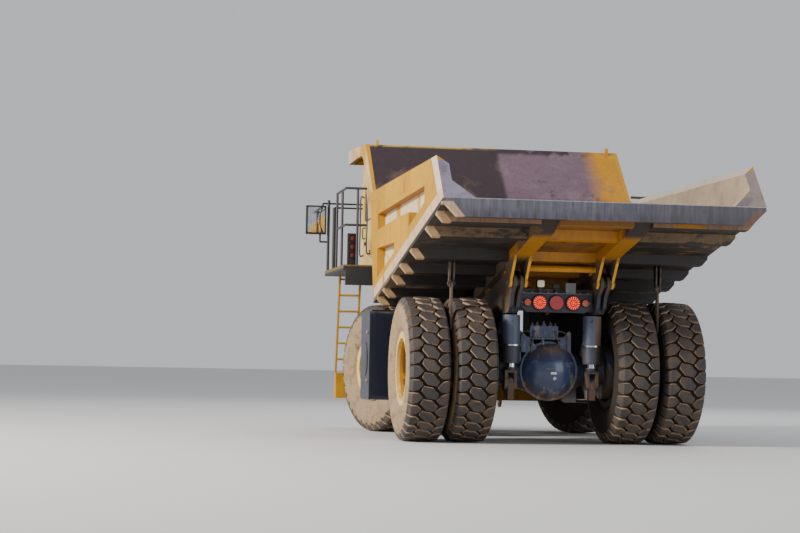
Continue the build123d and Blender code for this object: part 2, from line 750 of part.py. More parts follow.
with BuildPart() as grille:
    grille_y = HOOD_FRONT_Y + 120
    block((-HOOD_HALF, HOOD_HALF), (HOOD_FRONT_Y + SEAT_GAP, grille_y), (1410, 3180))
    block((-450, 450), (grille_y - 42, grille_y), (1510, 3070), mode=Mode.SUBTRACT)
    for row in range(13):
        block((-450, 450), (grille_y - 43, grille_y - 10), (1560 + row * 118, 1600 + row * 118))
save(grille, "radiator_grille")

# Decks, each with a skirt at its rear corner and two legs
for name, side in SIDES:
    inner = HOOD_HALF + SEAT_GAP
    with BuildPart() as deck:
        block(
            span(side, inner, DECK_OUT_X),
            (DECK_REAR_Y, DECK_FRONT_Y),
            (DECK_TOP - DECK_THICK, DECK_TOP),
        )
        block(
            span(side, DECK_OUT_X - 510, DECK_OUT_X - 40),
            (DECK_REAR_Y, DECK_REAR_Y + 80),
            (2400, DECK_TOP - DECK_THICK),
        )
        block(
            span(side, RAIL_IN, 800),
            (DECK_REAR_Y + 80, DECK_REAR_Y + 220),
            (RAIL_STEP_Z + SEAT_GAP, DECK_TOP - DECK_THICK),
        )
        block(
            span(side, 900, 1060),
            (FRONT_AXLE_Y - 190, FRONT_AXLE_Y + 190),
            (TOWER_TOP + SEAT_GAP, DECK_TOP - DECK_THICK),
        )
    save(deck, f"deck_{name}")

# Handrails of straight tubes, which run on round each deck's rear corner
HANDRAIL_X = DECK_OUT_X - 30
HANDRAIL_REAR_Y = DECK_REAR_Y + 22
HANDRAIL_FRONT_Y = FRONT_AXLE_Y - 30
SIDE_POST_Y = FRONT_AXLE_Y - 680
REAR_POST_X = HANDRAIL_X - 190
REAR_RAIL_END_X = HANDRAIL_X - 340
RAIL_CLEAR = HANDRAIL_RADIUS + SEAT_GAP
CORNER_Y = HANDRAIL_REAR_Y - HANDRAIL_RADIUS
HANDRAIL_TUBES = (
    # start x, start y, end x, end y, height
    (HANDRAIL_X, CORNER_Y, HANDRAIL_X, HANDRAIL_FRONT_Y + HANDRAIL_RADIUS, HANDRAIL_TOP),
    (HANDRAIL_X - RAIL_CLEAR, HANDRAIL_REAR_Y, REAR_RAIL_END_X, HANDRAIL_REAR_Y, HANDRAIL_TOP),
    (HANDRAIL_X, CORNER_Y, HANDRAIL_X, SIDE_POST_Y - RAIL_CLEAR, HANDRAIL_MIDDLE),
    (HANDRAIL_X, SIDE_POST_Y + RAIL_CLEAR, HANDRAIL_X, HANDRAIL_FRONT_Y - RAIL_CLEAR, HANDRAIL_MIDDLE),
    (HANDRAIL_X - RAIL_CLEAR, HANDRAIL_REAR_Y, REAR_POST_X + RAIL_CLEAR, HANDRAIL_REAR_Y, HANDRAIL_MIDDLE),
    (REAR_POST_X - RAIL_CLEAR, HANDRAIL_REAR_Y, REAR_RAIL_END_X, HANDRAIL_REAR_Y, HANDRAIL_MIDDLE),
)
HANDRAIL_POSTS = (
    (HANDRAIL_X, SIDE_POST_Y),
    (HANDRAIL_X, HANDRAIL_FRONT_Y),
    (REAR_POST_X, HANDRAIL_REAR_Y),
)
# The right deck has one more panel along its front edge
FRONT_PANEL_Y = DECK_FRONT_Y - 25
FRONT_IN_X = 700.0
FRONT_OUT_X = 1900.0
FRONT_TUBES = (
    (FRONT_IN_X, FRONT_PANEL_Y, FRONT_OUT_X, FRONT_PANEL_Y, HANDRAIL_TOP),
    (FRONT_IN_X + RAIL_CLEAR, FRONT_PANEL_Y, FRONT_OUT_X - RAIL_CLEAR, FRONT_PANEL_Y, HANDRAIL_MIDDLE),
)
FRONT_POSTS = ((FRONT_IN_X, FRONT_PANEL_Y), (FRONT_OUT_X, FRONT_PANEL_Y))
with BuildPart() as handrails:
    for side in (-1, 1):
        tubes = HANDRAIL_TUBES if side < 0 else (*HANDRAIL_TUBES, *FRONT_TUBES)
        for start_x, start_y, end_x, end_y, height in tubes:
            tube(Vector(side * start_x, start_y, height), Vector(side * end_x, end_y, height))
        for post_x, post_y in HANDRAIL_POSTS if side < 0 else (*HANDRAIL_POSTS, *FRONT_POSTS):
            foot = Vector(side * post_x, post_y, DECK_TOP + SEAT_GAP)
            tube(foot, Vector(side * post_x, post_y, HANDRAIL_TOP - RAIL_CLEAR))
save(handrails, "handrails")

# Ladders from the bumper to the decks
LADDER_FOOT_Y = NOSE_Y - 75
LADDER_FOOT_Z = 960.0
LADDER_TOP_Y = DECK_FRONT_Y + SEAT_GAP + 50
LADDER_LEAN = (LADDER_FOOT_Y - LADDER_TOP_Y) / (DECK_TOP - LADDER_FOOT_Z)
with BuildPart() as ladders:
    for side in (-1, 1):
        for low in (1950, 2310):
            plate_x(
                span(side, low, low + 30),
                (
                    (LADDER_FOOT_Y - 50, LADDER_FOOT_Z),
                    (LADDER_FOOT_Y + 50, LADDER_FOOT_Z),
                    (LADDER_TOP_Y + 50, DECK_TOP),
                    (LADDER_TOP_Y - 50, DECK_TOP),
                    (LADDER_TOP_Y - 50, DECK_TOP - 120),
                ),
            )
        for step in range(6):
            step_z = 1180 + step * 280
            step_y = LADDER_FOOT_Y - (step_z - LADDER_FOOT_Z) * LADDER_LEAN
            block(span(side, 1980, 2310), (step_y - 70, step_y + 70), (step_z, step_z + 35))
save(ladders, "ladders")

# Door hinges, whose pins stand on the cab and whose sleeves are on the door
DOOR_HINGE_X = CAB_LEFT_X - 16
DOOR_HINGE_Y = DOOR_REAR_Y - DOOR_GAP / 2
HINGE_ZS = (3000.0, 4150.0)
HINGE_HALF = 60.0
HINGE_EAR = 18.0
HINGE_RADIUS = 15.0
HINGE_PIN_RADIUS = 8.0


def hinge_disc(z_span, radius, mode=Mode.ADD):
    """A round bar or bore on the door's hinge line."""
    with BuildSketch(Plane.XY.offset(z_span[0])) as disc:
        with Locations((DOOR_HINGE_X, DOOR_HINGE_Y)):
            Circle(radius)
    extrude(disc.sketch, amount=z_span[1] - z_span[0], mode=mode)


# Cab shell, hollow, with its windows and door opening cut
cab_outline = (
    (CAB_REAR_Y, DECK_TOP),
    (CAB_REAR_Y, CAB_TOP),
    (CAB_FRONT_Y - 190, CAB_TOP),
    (CAB_FRONT_Y, WINDOW_BOTTOM - 60),
    (CAB_FRONT_Y, DECK_TOP),
)
with BuildPart() as cab:
    plate_x((CAB_LEFT_X, CAB_RIGHT_X), cab_outline)
    offset(amount=-CAB_WALL, mode=Mode.SUBTRACT, kind=Kind.INTERSECTION)
    # Windscreen, rear window and right window
    block(
        (CAB_LEFT_X + 120, CAB_RIGHT_X - 120),
        (CAB_FRONT_Y - 300, CAB_FRONT_Y + 50),
        (WINDOW_BOTTOM, WINDOW_TOP),
        mode=Mode.SUBTRACT,
    )
    block(
        (CAB_LEFT_X + 160, CAB_RIGHT_X - 160),
        (CAB_REAR_Y - 10, CAB_REAR_Y + CAB_WALL + 10),
        (WINDOW_BOTTOM + 120, WINDOW_TOP),
        mode=Mode.SUBTRACT,
    )
    block(
        (CAB_RIGHT_X - CAB_WALL - 10, CAB_RIGHT_X + 10),
        (CAB_REAR_Y + 180, CAB_FRONT_Y - 320),
        (WINDOW_BOTTOM + 120, WINDOW_TOP),
        mode=Mode.SUBTRACT,
    )
    block(
        (CAB_LEFT_X - 10, CAB_LEFT_X + CAB_WALL + 10),
        (DOOR_REAR_Y - DOOR_GAP, DOOR_FRONT_Y + DOOR_GAP),
        (DOOR_BOTTOM - DOOR_GAP, DOOR_TOP + DOOR_GAP),
        mode=Mode.SUBTRACT,
    )
    # Hinge pins with an ear at each end
    for hinge_z in HINGE_ZS:
        hinge_disc((hinge_z - HINGE_HALF, hinge_z + HINGE_HALF), HINGE_PIN_RADIUS)
        for low in (hinge_z - HINGE_HALF, hinge_z + HINGE_HALF - HINGE_EAR):
            hinge_disc((low, low + HINGE_EAR), HINGE_RADIUS)
            block(
                (DOOR_HINGE_X - 2, CAB_LEFT_X + 1),
                (DOOR_HINGE_Y - 60, DOOR_HINGE_Y - HINGE_PIN_RADIUS),
                (low, low + HINGE_EAR),
            )
save(cab, "cab_shell")

with BuildPart() as glass:
    block(
        (CAB_LEFT_X + 160 + SEAT_GAP, CAB_RIGHT_X - 160 - SEAT_GAP),
        (CAB_REAR_Y + 25, CAB_REAR_Y + 25 + GLASS_THICK),
        (WINDOW_BOTTOM + 120 + SEAT_GAP, WINDOW_TOP - SEAT_GAP),
    )
    block(
        (CAB_RIGHT_X - 39, CAB_RIGHT_X - 39 + GLASS_THICK),
        (CAB_REAR_Y + 180 + SEAT_GAP, CAB_FRONT_Y - 320 - SEAT_GAP),
        (WINDOW_BOTTOM + 120 + SEAT_GAP, WINDOW_TOP - SEAT_GAP),
    )
    # The windscreen leans back with the cab's front face
    lean = 190 / (CAB_TOP - WINDOW_BOTTOM + 60)
    low_y = CAB_FRONT_Y - lean * 60 - 20
    high_y = CAB_FRONT_Y - lean * (WINDOW_TOP - WINDOW_BOTTOM + 60) - 20
    plate_x(
        (CAB_LEFT_X + 120 + SEAT_GAP, CAB_RIGHT_X - 120 - SEAT_GAP),
        (
            (low_y, WINDOW_BOTTOM + SEAT_GAP),
            (high_y, WINDOW_TOP - SEAT_GAP),
            (high_y - GLASS_THICK, WINDOW_TOP - SEAT_GAP),
            (low_y - GLASS_THICK, WINDOW_BOTTOM + SEAT_GAP),
        ),
    )
save(glass, "cab_glass")

with BuildPart() as door:
    block(
        (CAB_LEFT_X, CAB_LEFT_X + CAB_WALL - 10),
        (DOOR_REAR_Y, DOOR_FRONT_Y),
        (DOOR_BOTTOM, DOOR_TOP),
    )
    block(
        (CAB_LEFT_X - 10, CAB_LEFT_X + CAB_WALL),
        (DOOR_REAR_Y + 90, DOOR_FRONT_Y - 90),
        (WINDOW_BOTTOM + 60, DOOR_TOP - 90),
        mode=Mode.SUBTRACT,
    )
    for hinge_z in HINGE_ZS:
        sleeve_half = HINGE_HALF - HINGE_EAR - SEAT_GAP
        sleeve = (hinge_z - sleeve_half, hinge_z + sleeve_half)
        hinge_disc(sleeve, HINGE_RADIUS)
        block(
            (DOOR_HINGE_X - 2, CAB_LEFT_X + 1),
            (DOOR_HINGE_Y + HINGE_PIN_RADIUS, DOOR_HINGE_Y + 60),
            sleeve,
        )
        hinge_disc(sleeve, HINGE_PIN_RADIUS + PIN_GAP, mode=Mode.SUBTRACT)
save(door, "cab_door")

# Seat, dashboard with steering wheel
SEAT_X = (CAB_LEFT_X + CAB_RIGHT_X) / 2
SEAT_Y = CAB_REAR_Y + 270
DASH_Y = CAB_REAR_Y + 1180
CAB_FLOOR = DECK_TOP + CAB_WALL
with BuildPart() as seat:
    block((SEAT_X - 170, SEAT_X + 170), (SEAT_Y + 50, SEAT_Y + 410), (CAB_FLOOR, CAB_FLOOR + 280))
    block((SEAT_X - 260, SEAT_X + 260), (SEAT_Y, SEAT_Y + 530), (CAB_FLOOR + 280, CAB_FLOOR + 430))
    plate_x(
        (SEAT_X - 250, SEAT_X + 250),
        (
            (SEAT_Y, CAB_FLOOR + 400),
            (SEAT_Y + 140, CAB_FLOOR + 400),
            (SEAT_Y + 60, CAB_FLOOR + 1080),
            (SEAT_Y - 50, CAB_FLOOR + 1080),
        ),
    )
save(seat, "operator_seat")

with BuildPart() as dashboard:
    plate_x(
        (CAB_LEFT_X + 130, CAB_RIGHT_X - 130),
        (
            (DASH_Y, CAB_FLOOR),
            (DASH_Y - 110, CAB_FLOOR + 560),
            (DASH_Y - 30, CAB_FLOOR + 690),
            (DASH_Y + 210, CAB_FLOOR + 640),
            (DASH_Y + 240, CAB_FLOOR),
        ),
    )
    wheel_plane = Plane(
        origin=(SEAT_X, DASH_Y - 180, CAB_FLOOR + 740),
        x_dir=(1, 0, 0),
        z_dir=(0, -0.5, 0.87),
    )
    with BuildSketch(wheel_plane):
        Circle(210)
        Circle(180, mode=Mode.SUBTRACT)
        Rectangle(366, 34)
        Circle(48)
    extrude(amount=24)
    with BuildSketch(wheel_plane):
        Circle(26)
    extrude(amount=-175)
save(dashboard, "dashboard")

# Tanks between the wheels
for label, side, top in (("fuel_tank", -1, 1950), ("hydraulic_tank", 1, 1850)):
    with BuildPart() as tank:
        block(span(side, TANK_IN, TANK_OUT), (TANK_REAR_Y, TANK_FRONT_Y), (560, top))
        fillet(tank.edges().filter_by(Axis.X), radius=70)
        block(
            span(side, TANK_IN + 60, TANK_OUT - 60),
            (TANK_REAR_Y + 180, TANK_REAR_Y + 720),
            (top, top + 28),
        )
        for y_low in (TANK_REAR_Y + 140, TANK_REAR_Y + 640):
            block(span(side, RAIL_OUT + SEAT_GAP, TANK_IN), (y_low, y_low + 120), (1200, 1500))
    save(tank, label)

# Air cleaners on the right deck
with BuildPart() as cleaners:
    for cleaner_y in (FRONT_AXLE_Y + 320, FRONT_AXLE_Y + 920):
        with BuildSketch(Plane.XY.offset(DECK_TOP + SEAT_GAP)):
            with Locations((1050, cleaner_y)):
                Circle(250)
        extrude(amount=620)
        with BuildSketch(Plane.XY.offset(DECK_TOP + 620)):
            with Locations((1050, cleaner_y)):
                Circle(170)
        extrude(amount=160)
save(cleaners, "air_cleaners")

# Payload lamps that face the loader, one stack on each side
with BuildPart() as payload_lamps:
    for side in (-1, 1):
        block(
            span(side, DECK_OUT_X - 230, DECK_OUT_X - 80),
            (DECK_REAR_Y + 120, DECK_REAR_Y + 180),
            (DECK_TOP + SEAT_GAP, 3250),
        )
save(payload_lamps, "payload_lamps")

# Mirrors on tube arms from a post at the deck edge
MIRROR_POST_X = DECK_OUT_X - 26
MIRROR_FOOT = 3360.0
MIRROR_HEAD = 3860.0
MIRROR_ARM_Z = 3900.0
MIRROR_LOW_ARM_Z = MIRROR_FOOT - 130
MIRROR_ARM_RADIUS = 16.0
STAY_POST_X = 100 - MIRROR_POST_X
with BuildPart() as mirrors:
    for side in (-1, 1):
        block(
            span(side, MIRROR_IN, MIRROR_OUT),
            (MIRROR_Y - 45, MIRROR_Y + 45),
            (MIRROR_FOOT, MIRROR_HEAD),
        )
        for post_x, low, high, radius in (
            (MIRROR_POST_X, DECK_TOP + SEAT_GAP, MIRROR_ARM_Z + 60, 24),
            (MIRROR_IN + 60, MIRROR_HEAD - 10, MIRROR_ARM_Z, MIRROR_ARM_RADIUS),
            (MIRROR_IN + 100, MIRROR_LOW_ARM_Z, MIRROR_FOOT + 10, MIRROR_ARM_RADIUS),
        ):
            with BuildSketch(Plane.XY.offset(low)):
                with Locations((side * post_x, MIRROR_Y)):
                    Circle(radius)
            extrude(amount=high - low)
        rod_x(span(side, MIRROR_POST_X, MIRROR_IN + 60), MIRROR_Y, MIRROR_ARM_Z, MIRROR_ARM_RADIUS)
        rod_x(span(side, MIRROR_POST_X, MIRROR_IN + 100), MIRROR_Y, MIRROR_LOW_ARM_Z, MIRROR_ARM_RADIUS)
    # The left mirror is stayed to the cab by two bars, the lower one from a post of its own
    cab_side_x = CAB_LEFT_X - SEAT_GAP
    rod_x((-MIRROR_POST_X, cab_side_x), MIRROR_Y, MIRROR_ARM_Z, MIRROR_ARM_RADIUS)
    rod_x((STAY_POST_X, cab_side_x), MIRROR_Y, MIRROR_ARM_Z - 70, MIRROR_ARM_RADIUS)
    with BuildSketch(Plane.XY.offset(DECK_TOP + SEAT_GAP)):
        with Locations((STAY_POST_X, MIRROR_Y)):
            Circle(30)
    extrude(amount=MIRROR_ARM_Z - 70 - DECK_TOP)
save(mirrors, "mirrors")

# Bed floor with the tail lip, hoist brackets, ejector brackets and a small box beneath
with BuildPart() as bed_floor:
    plate_x(
        (-BED_HALF_WIDTH, BED_HALF_WIDTH),
        (
            (TAIL_Y, floor_z(TAIL_Y)),
            (TAIL_Y, floor_z(TAIL_Y) - FLOOR_THICK),
            (FRONT_FOOT_Y + 95, floor_z(FRONT_FOOT_Y + 95) - FLOOR_THICK),
            (FRONT_FOOT_Y + 95, floor_z(FRONT_FOOT_Y + 95)),
        ),
    )
    plate_y(
        (TAIL_Y, TAIL_Y + LIP_THICK),
        (
            (-BED_HALF_WIDTH, FLOOR_TAIL_Z - FLOOR_THICK + 5),
            (BED_HALF_WIDTH, FLOOR_TAIL_Z - FLOOR_THICK + 5),
            (LIP_FOOT_X, FLOOR_TAIL_Z - LIP_DEPTH),
            (-LIP_FOOT_X, FLOOR_TAIL_Z - LIP_DEPTH),
        ),
    )
    for side in (-1, 1):
        # Hoist brackets, two plates each side of the rod's eye
        bracket_rear = HOIST_EYE_Y - HOIST_BRACKET_HALF
        bracket_front = HOIST_EYE_Y + HOIST_BRACKET_HALF
        for low in (2 * HOIST_X - HOIST_BRACKET_OUT, HOIST_BRACKET_OUT - 20):
            plate_x(
                span(side, low, low + 20),
                (
                    (bracket_rear, floor_z(bracket_rear) - FLOOR_THICK + 10),
                    (HOIST_EYE_Y - 70, HOIST_EYE_Z - 70),
                    (HOIST_EYE_Y + 70, HOIST_EYE_Z - 70),
                    (bracket_front, floor_z(bracket_front) - FLOOR_THICK + 10),
                ),
            )
        # Ejector brackets, a clevis with its pin
        for low, high in ((-40, -20), (20, 40)):
            plate_x(
                span(side, REAR_TRACK_X + low, REAR_TRACK_X + high),
                (
                    (EJECTOR_Y - 70, floor_z(EJECTOR_Y - 70) - FLOOR_THICK + 10),
                    (EJECTOR_Y - 45, EJECTOR_Z - 45),
                    (EJECTOR_Y + 45, EJECTOR_Z - 45),
                    (EJECTOR_Y + 70, floor_z(EJECTOR_Y + 70) - FLOOR_THICK + 10),
                ),
            )
        rod_x(
            span(side, REAR_TRACK_X - 45, REAR_TRACK_X + 45),
            EJECTOR_Y,
            EJECTOR_Z,
            EJECTOR_PIN_RADIUS,
        )
    hatch_y = TAIL_Y + 1385
    hatch_top = floor_z(hatch_y) - FLOOR_THICK + 5
    block((-200, 180), (hatch_y, hatch_y + 200), (hatch_top - 125, hatch_top))
save(bed_floor, "bed_floor")

# Bed sides: box walls with pockets outside, a top that falls inwards and a sloped foot inside
TAIL_LEAN = (SIDE_TAIL_TOP_Y - TAIL_Y) / (BED_RAIL_Z - FLOOR_TAIL_Z)
FRONT_LEAN = (FRONT_RAIL_Y - FRONT_FOOT_Y) / (BED_RAIL_Z - floor_z(FRONT_FOOT_Y))
POCKET_DEPTH = 120.0
POCKETS = (
    # each pocket's corners as (y, z)
    (
        (870, 3490),
        (TAIL_Y + 1415, 3570),
        (TAIL_Y + 1415, 3340),
        (-2020, 3090),
        (-2020, 3300),
        (-770, 3290),
        (870, 3240),
    ),
    ((870, 2950), (870, 2480), (-770, 2800), (-770, 2940)),
)
RAIL_SLOTS = ((770, 3640), (-1580, 3700))
for name, side in SIDES:
    foot_plane = Plane(
        origin=(side * BED_FLAT_X, TAIL_Y, FLOOR_TAIL_Z),
        z_dir=(-side, FLOOR_SLOPE, 1),
    )
    with BuildPart() as side_foot:
        plate_x(
            span(side, BED_FLAT_X, BED_INNER_X),
            (
                (TAIL_Y, floor_z(TAIL_Y)),
                (TAIL_Y + TAIL_LEAN * BED_CHAMFER, floor_z(TAIL_Y) + BED_CHAMFER),
                (FRONT_FOOT_Y + FRONT_LEAN * BED_CHAMFER, floor_z(FRONT_FOOT_Y) + BED_CHAMFER),
                (FRONT_FOOT_Y, floor_z(FRONT_FOOT_Y)),
            ),
        )
        split(bisect_by=foot_plane, keep=Keep.BOTTOM)
    with BuildPart() as bed_side:
        plate_x(
            span(side, BED_INNER_X, BED_HALF_WIDTH),
            (
                (TAIL_Y, floor_z(TAIL_Y)),
                (SIDE_TAIL_TOP_Y, BED_RAIL_Z),
                (FRONT_RAIL_Y, BED_RAIL_Z),
                (FRONT_FOOT_Y, floor_z(FRONT_FOOT_Y)),
            ),
        )
        plate_y(
            (TAIL_Y, FRONT_RAIL_Y + 1),
            (
                (side * BED_INNER_X, BED_RAIL_Z - BED_RAIL_DROP),
                (side * BED_HALF_WIDTH, BED_RAIL_Z),
                (side * BED_INNER_X, BED_RAIL_Z),
            ),
            mode=Mode.SUBTRACT,
        )
        pocket_span = span(side, BED_HALF_WIDTH - POCKET_DEPTH, BED_HALF_WIDTH)
        for corners in POCKETS:
            plate_x(pocket_span, corners, mode=Mode.SUBTRACT)
        for slot_y, slot_z in RAIL_SLOTS:
            block(
                span(side, BED_HALF_WIDTH - 40, BED_HALF_WIDTH),
                (slot_y - 20, slot_y + 20),
                (slot_z - 80, slot_z + 80),
                mode=Mode.SUBTRACT,
            )
        add(side_foot.part)
    save(bed_side, f"bed_side_{name}")

# Headboard: a steep wall up to the side rails, then a part that leans forward
FRONT_OUT = FRONT_THICK + 5
KINK_OUT_Y = FRONT_RAIL_Y + 127
with BuildPart() as headboard:
    plate_x(
        (-BED_HALF_WIDTH, BED_HALF_WIDTH),
        (
            (FRONT_FOOT_Y, floor_z(FRONT_FOOT_Y)),
            (FRONT_RAIL_Y, BED_RAIL_Z),
            (FRONT_RAIL_Y + FRONT_THICK, BED_RAIL_Z),
            (FRONT_FOOT_Y + FRONT_OUT, floor_z(FRONT_FOOT_Y + FRONT_OUT)),
        ),
    )
    half = FASCIA_OUT - FASCIA_THICK - SEAT_GAP
    plate_x(
        (-half, half),
        (
            (FRONT_RAIL_Y, BED_RAIL_Z),
            (FRONT_TOP_Y, FRONT_TOP_Z),
            (FRONT_TOP_Y + 64, FRONT_TOP_Z - 63),
            (KINK_OUT_Y, BED_RAIL_Z),
        ),
    )
    for side in (-1, 1):
        block(span(side, 1950, 2000), (FRONT_TOP_Y - 60, FRONT_TOP_Y), (FRONT_TOP_Z - 60, FRONT_TOP_Z + 70))
save(headboard, "bed_headboard")

# Canopy over the cab, with arched side fascias
with BuildPart() as canopy:
    plate_x(
        (-FASCIA_OUT, FASCIA_OUT),
        (
            (FRONT_TOP_Y + 1, FRONT_TOP_Z),
            (CANOPY_NOSE_Y, CANOPY_NOSE_Z),
            (CANOPY_NOSE_Y, CANOPY_NOSE_Z - CANOPY_THICK),
            (FRONT_TOP_Y + 52, FRONT_TOP_Z - CANOPY_THICK),
        ),
    )
    for side in (-1, 1):
        plate_x(
            span(side, FASCIA_OUT - FASCIA_THICK, FASCIA_OUT),
            (
                (FRONT_RAIL_Y, BED_RAIL_Z + SEAT_GAP),
                (FRONT_TOP_Y, FRONT_TOP_Z),
                (CANOPY_NOSE_Y, CANOPY_NOSE_Z),
                (CANOPY_NOSE_Y, 4650),
                (3150, 4655),
                (2920, 4620),
                (2760, 4530),
                (2203, 3741),
                (2080, 3500),
                (1626, 3500),
                (FRONT_RAIL_Y + FRONT_THICK + 1, BED_RAIL_Z + SEAT_GAP),
            ),
        )
    block((-FASCIA_OUT, FASCIA_OUT), (CANOPY_NOSE_Y - 60, CANOPY_NOSE_Y), (4650, CANOPY_NOSE_Z - 20))
    for rib_x in (-1300, -440, 440, 1300):
        plate_x(
            (rib_x - 30, rib_x + 30),
            (
                (2700, FRONT_TOP_Z - 55),
                (CANOPY_NOSE_Y - 30, CANOPY_NOSE_Z - 25),
                (CANOPY_NOSE_Y - 30, 4720),
                (2900, 4640),
            ),
        )
save(canopy, "bed_canopy")

# Long beams under the bed with their pads, the hinge ears and the tube between the ears
with BuildPart() as beams:
    for name, side in SIDES:
        beam_span = span(side, RAIL_X - BEAM_HALF_WIDTH, RAIL_X + BEAM_HALF_WIDTH)
        plate_x(
            beam_span,
            (
                (1190, floor_z(1190) - FLOOR_THICK),
                (1190, beam_z(1190)),
                (TAIL_Y + 785, beam_z(TAIL_Y + 785)),
                (TAIL_Y + 335, floor_z(TAIL_Y + 335) - FLOOR_THICK),
            ),
        )
        for pad_y in (-1600, -500, 350, 1000):
            plate_x(
                span(side, RAIL_IN + 5, RAIL_OUT - 5),
                (
                    (pad_y - 90, beam_z(pad_y - 90)),
                    (pad_y + 90, beam_z(pad_y + 90)),
                    (pad_y + 90, beam_z(pad_y + 90) - PAD_THICK + SEAT_GAP),
                    (pad_y - 90, beam_z(pad_y - 90) - PAD_THICK + SEAT_GAP),
                ),
            )
        for low, high in ((-BEAM_HALF_WIDTH, -90), (90, BEAM_HALF_WIDTH)):
            ear_span = span(side, RAIL_X + low, RAIL_X + high)
            plate_x(
                ear_span,
                (
                    (-2640, beam_z(-2640) + 5),
                    (-2010, beam_z(-2010) + 5),
                    (PIVOT_Y + EAR_RADIUS - 5, PIVOT_Z + 25),
                    (PIVOT_Y + EAR_RADIUS - 5, PIVOT_Z),
                    (PIVOT_Y - EAR_RADIUS + 5, PIVOT_Z),
                    (PIVOT_Y - EAR_RADIUS + 5, PIVOT_Z + 25),
                ),
            )
            rod_x(ear_span, PIVOT_Y, PIVOT_Z, EAR_RADIUS)
            rod_x(ear_span, PIVOT_Y, PIVOT_Z, PIVOT_PIN_RADIUS + PIN_GAP, mode=Mode.SUBTRACT)
    rod_x((BEAM_HALF_WIDTH - RAIL_X - 1, RAIL_X - BEAM_HALF_WIDTH + 1), PIVOT_Y + 20, PIVOT_Z + 200, 45)
save(beams, "bed_beams")

# Cross bolsters under the floor, broken where the long beams pass and slanted at their ends
with BuildPart() as bolsters:
    beam_in = RAIL_X - BEAM_HALF_WIDTH - SEAT_GAP
    beam_out = RAIL_X + BEAM_HALF_WIDTH + SEAT_GAP
    half = BOLSTER_WIDTH / 2
    for bolster_y in BOLSTER_YS:
        foot_z = floor_z(bolster_y) - FLOOR_THICK
        # A bolster that meets the hoist brackets starts outside them
        near_hoist = abs(bolster_y - HOIST_EYE_Y) < half + HOIST_BRACKET_HALF
        start_x = HOIST_BRACKET_OUT + SEAT_GAP if near_hoist else beam_out
        profile = (
            (bolster_y - half, floor_z(bolster_y - half) - FLOOR_THICK),
            (bolster_y + half, floor_z(bolster_y + half) - FLOOR_THICK),
            (bolster_y + half - 30, foot_z - BOLSTER_DEPTH - 10),
            (bolster_y - half + 20, foot_z - BOLSTER_DEPTH + 10),
        )
        plate_x((-beam_in, beam_in), profile)
        for side in (-1, 1):
            plate_x(span(side, start_x, BOLSTER_OUT), profile)
            plate_y(
                (bolster_y - half, bolster_y + half),
                (
                    (side * BOLSTER_OUT, foot_z - 30),
                    (side * (BOLSTER_OUT - BOLSTER_SLANT), foot_z - BOLSTER_DEPTH - 20),
                    (side * BOLSTER_OUT, foot_z - BOLSTER_DEPTH - 20),
                ),
                mode=Mode.SUBTRACT,
            )
save(bolsters, "bed_bolsters")

# Rock ejector bars
for name, side in SIDES:
    bar_span = span(side, REAR_TRACK_X - EJECTOR_THICK / 2, REAR_TRACK_X + EJECTOR_THICK / 2)
    with BuildPart() as ejector:
        plate_x(
            bar_span,
            (
                (EJECTOR_Y - 40, EJECTOR_Z),
                (EJECTOR_Y + 40, EJECTOR_Z),
                (EJECTOR_Y + 45, EJECTOR_Z - EJECTOR_LENGTH + 60),
                (EJECTOR_Y + 20, EJECTOR_Z - EJECTOR_LENGTH),
                (EJECTOR_Y - 45, EJECTOR_Z - EJECTOR_LENGTH + 20),
            ),
        )
        rod_x(bar_span, EJECTOR_Y, EJECTOR_Z, 40)
        rod_x(bar_span, EJECTOR_Y, EJECTOR_Z, EJECTOR_PIN_RADIUS + PIN_GAP, mode=Mode.SUBTRACT)
    save(ejector, f"rock_ejector_{name}")

# Hoist cylinders: barrel on the frame's pin, a sliding stage and the rod with its eye
HOIST_RUN = (HOIST_EYE_Y - HOIST_FOOT_Y, HOIST_EYE_Z - HOIST_FOOT_Z)
HOIST_LENGTH = math.hypot(*HOIST_RUN)
BARREL_TOP = HOIST_LENGTH - 156
STAGE_TOP = HOIST_LENGTH - 106
for name, side in SIDES:
    foot = (side * HOIST_X, HOIST_FOOT_Y, HOIST_FOOT_Z)
    hoist_plane = Plane(
        origin=foot,
        x_dir=(0, HOIST_RUN[0], HOIST_RUN[1]),
        z_dir=(1, 0, 0),
    )
    eye_span = span(side, HOIST_X - 40, HOIST_X + 40)
    with BuildPart() as barrel:
        with BuildSketch(hoist_plane):
            outline(
                (60, 0),
                (60, 75),
                (95, BARREL_RADIUS),
                (BARREL_TOP, BARREL_RADIUS),
                (BARREL_TOP, STAGE_RADIUS + RUNNING_GAP),
                (115, STAGE_RADIUS + RUNNING_GAP),
                (115, 0),
            )
        revolve(axis=axle_axis(hoist_plane))
        rod_x(eye_span, HOIST_FOOT_Y, HOIST_FOOT_Z, 80)
        rod_x(eye_span, HOIST_FOOT_Y, HOIST_FOOT_Z, HOIST_PIN_RADIUS + PIN_GAP, mode=Mode.SUBTRACT)
    save(barrel, f"hoist_barrel_{name}")

    with BuildPart() as stage:
        with BuildSketch(hoist_plane):
            outline(
                (130, ROD_RADIUS + RUNNING_GAP),
                (130, STAGE_RADIUS),
                (STAGE_TOP, STAGE_RADIUS),
                (STAGE_TOP, ROD_RADIUS + RUNNING_GAP),
            )
        revolve(axis=axle_axis(hoist_plane))
    save(stage, f"hoist_stage_{name}")

    with BuildPart() as rod:
        with BuildSketch(hoist_plane):
            outline(
                (140, 0),
                (140, ROD_RADIUS),
                (HOIST_LENGTH - 190, ROD_RADIUS),
                (HOIST_LENGTH - 170, 36),
                (HOIST_LENGTH - 40, 36),
                (HOIST_LENGTH - 40, 0),
            )
        revolve(axis=axle_axis(hoist_plane))
        rod_x(eye_span, HOIST_EYE_Y, HOIST_EYE_Z, HOIST_EYE_RADIUS)
    save(rod, f"hoist_rod_{name}")
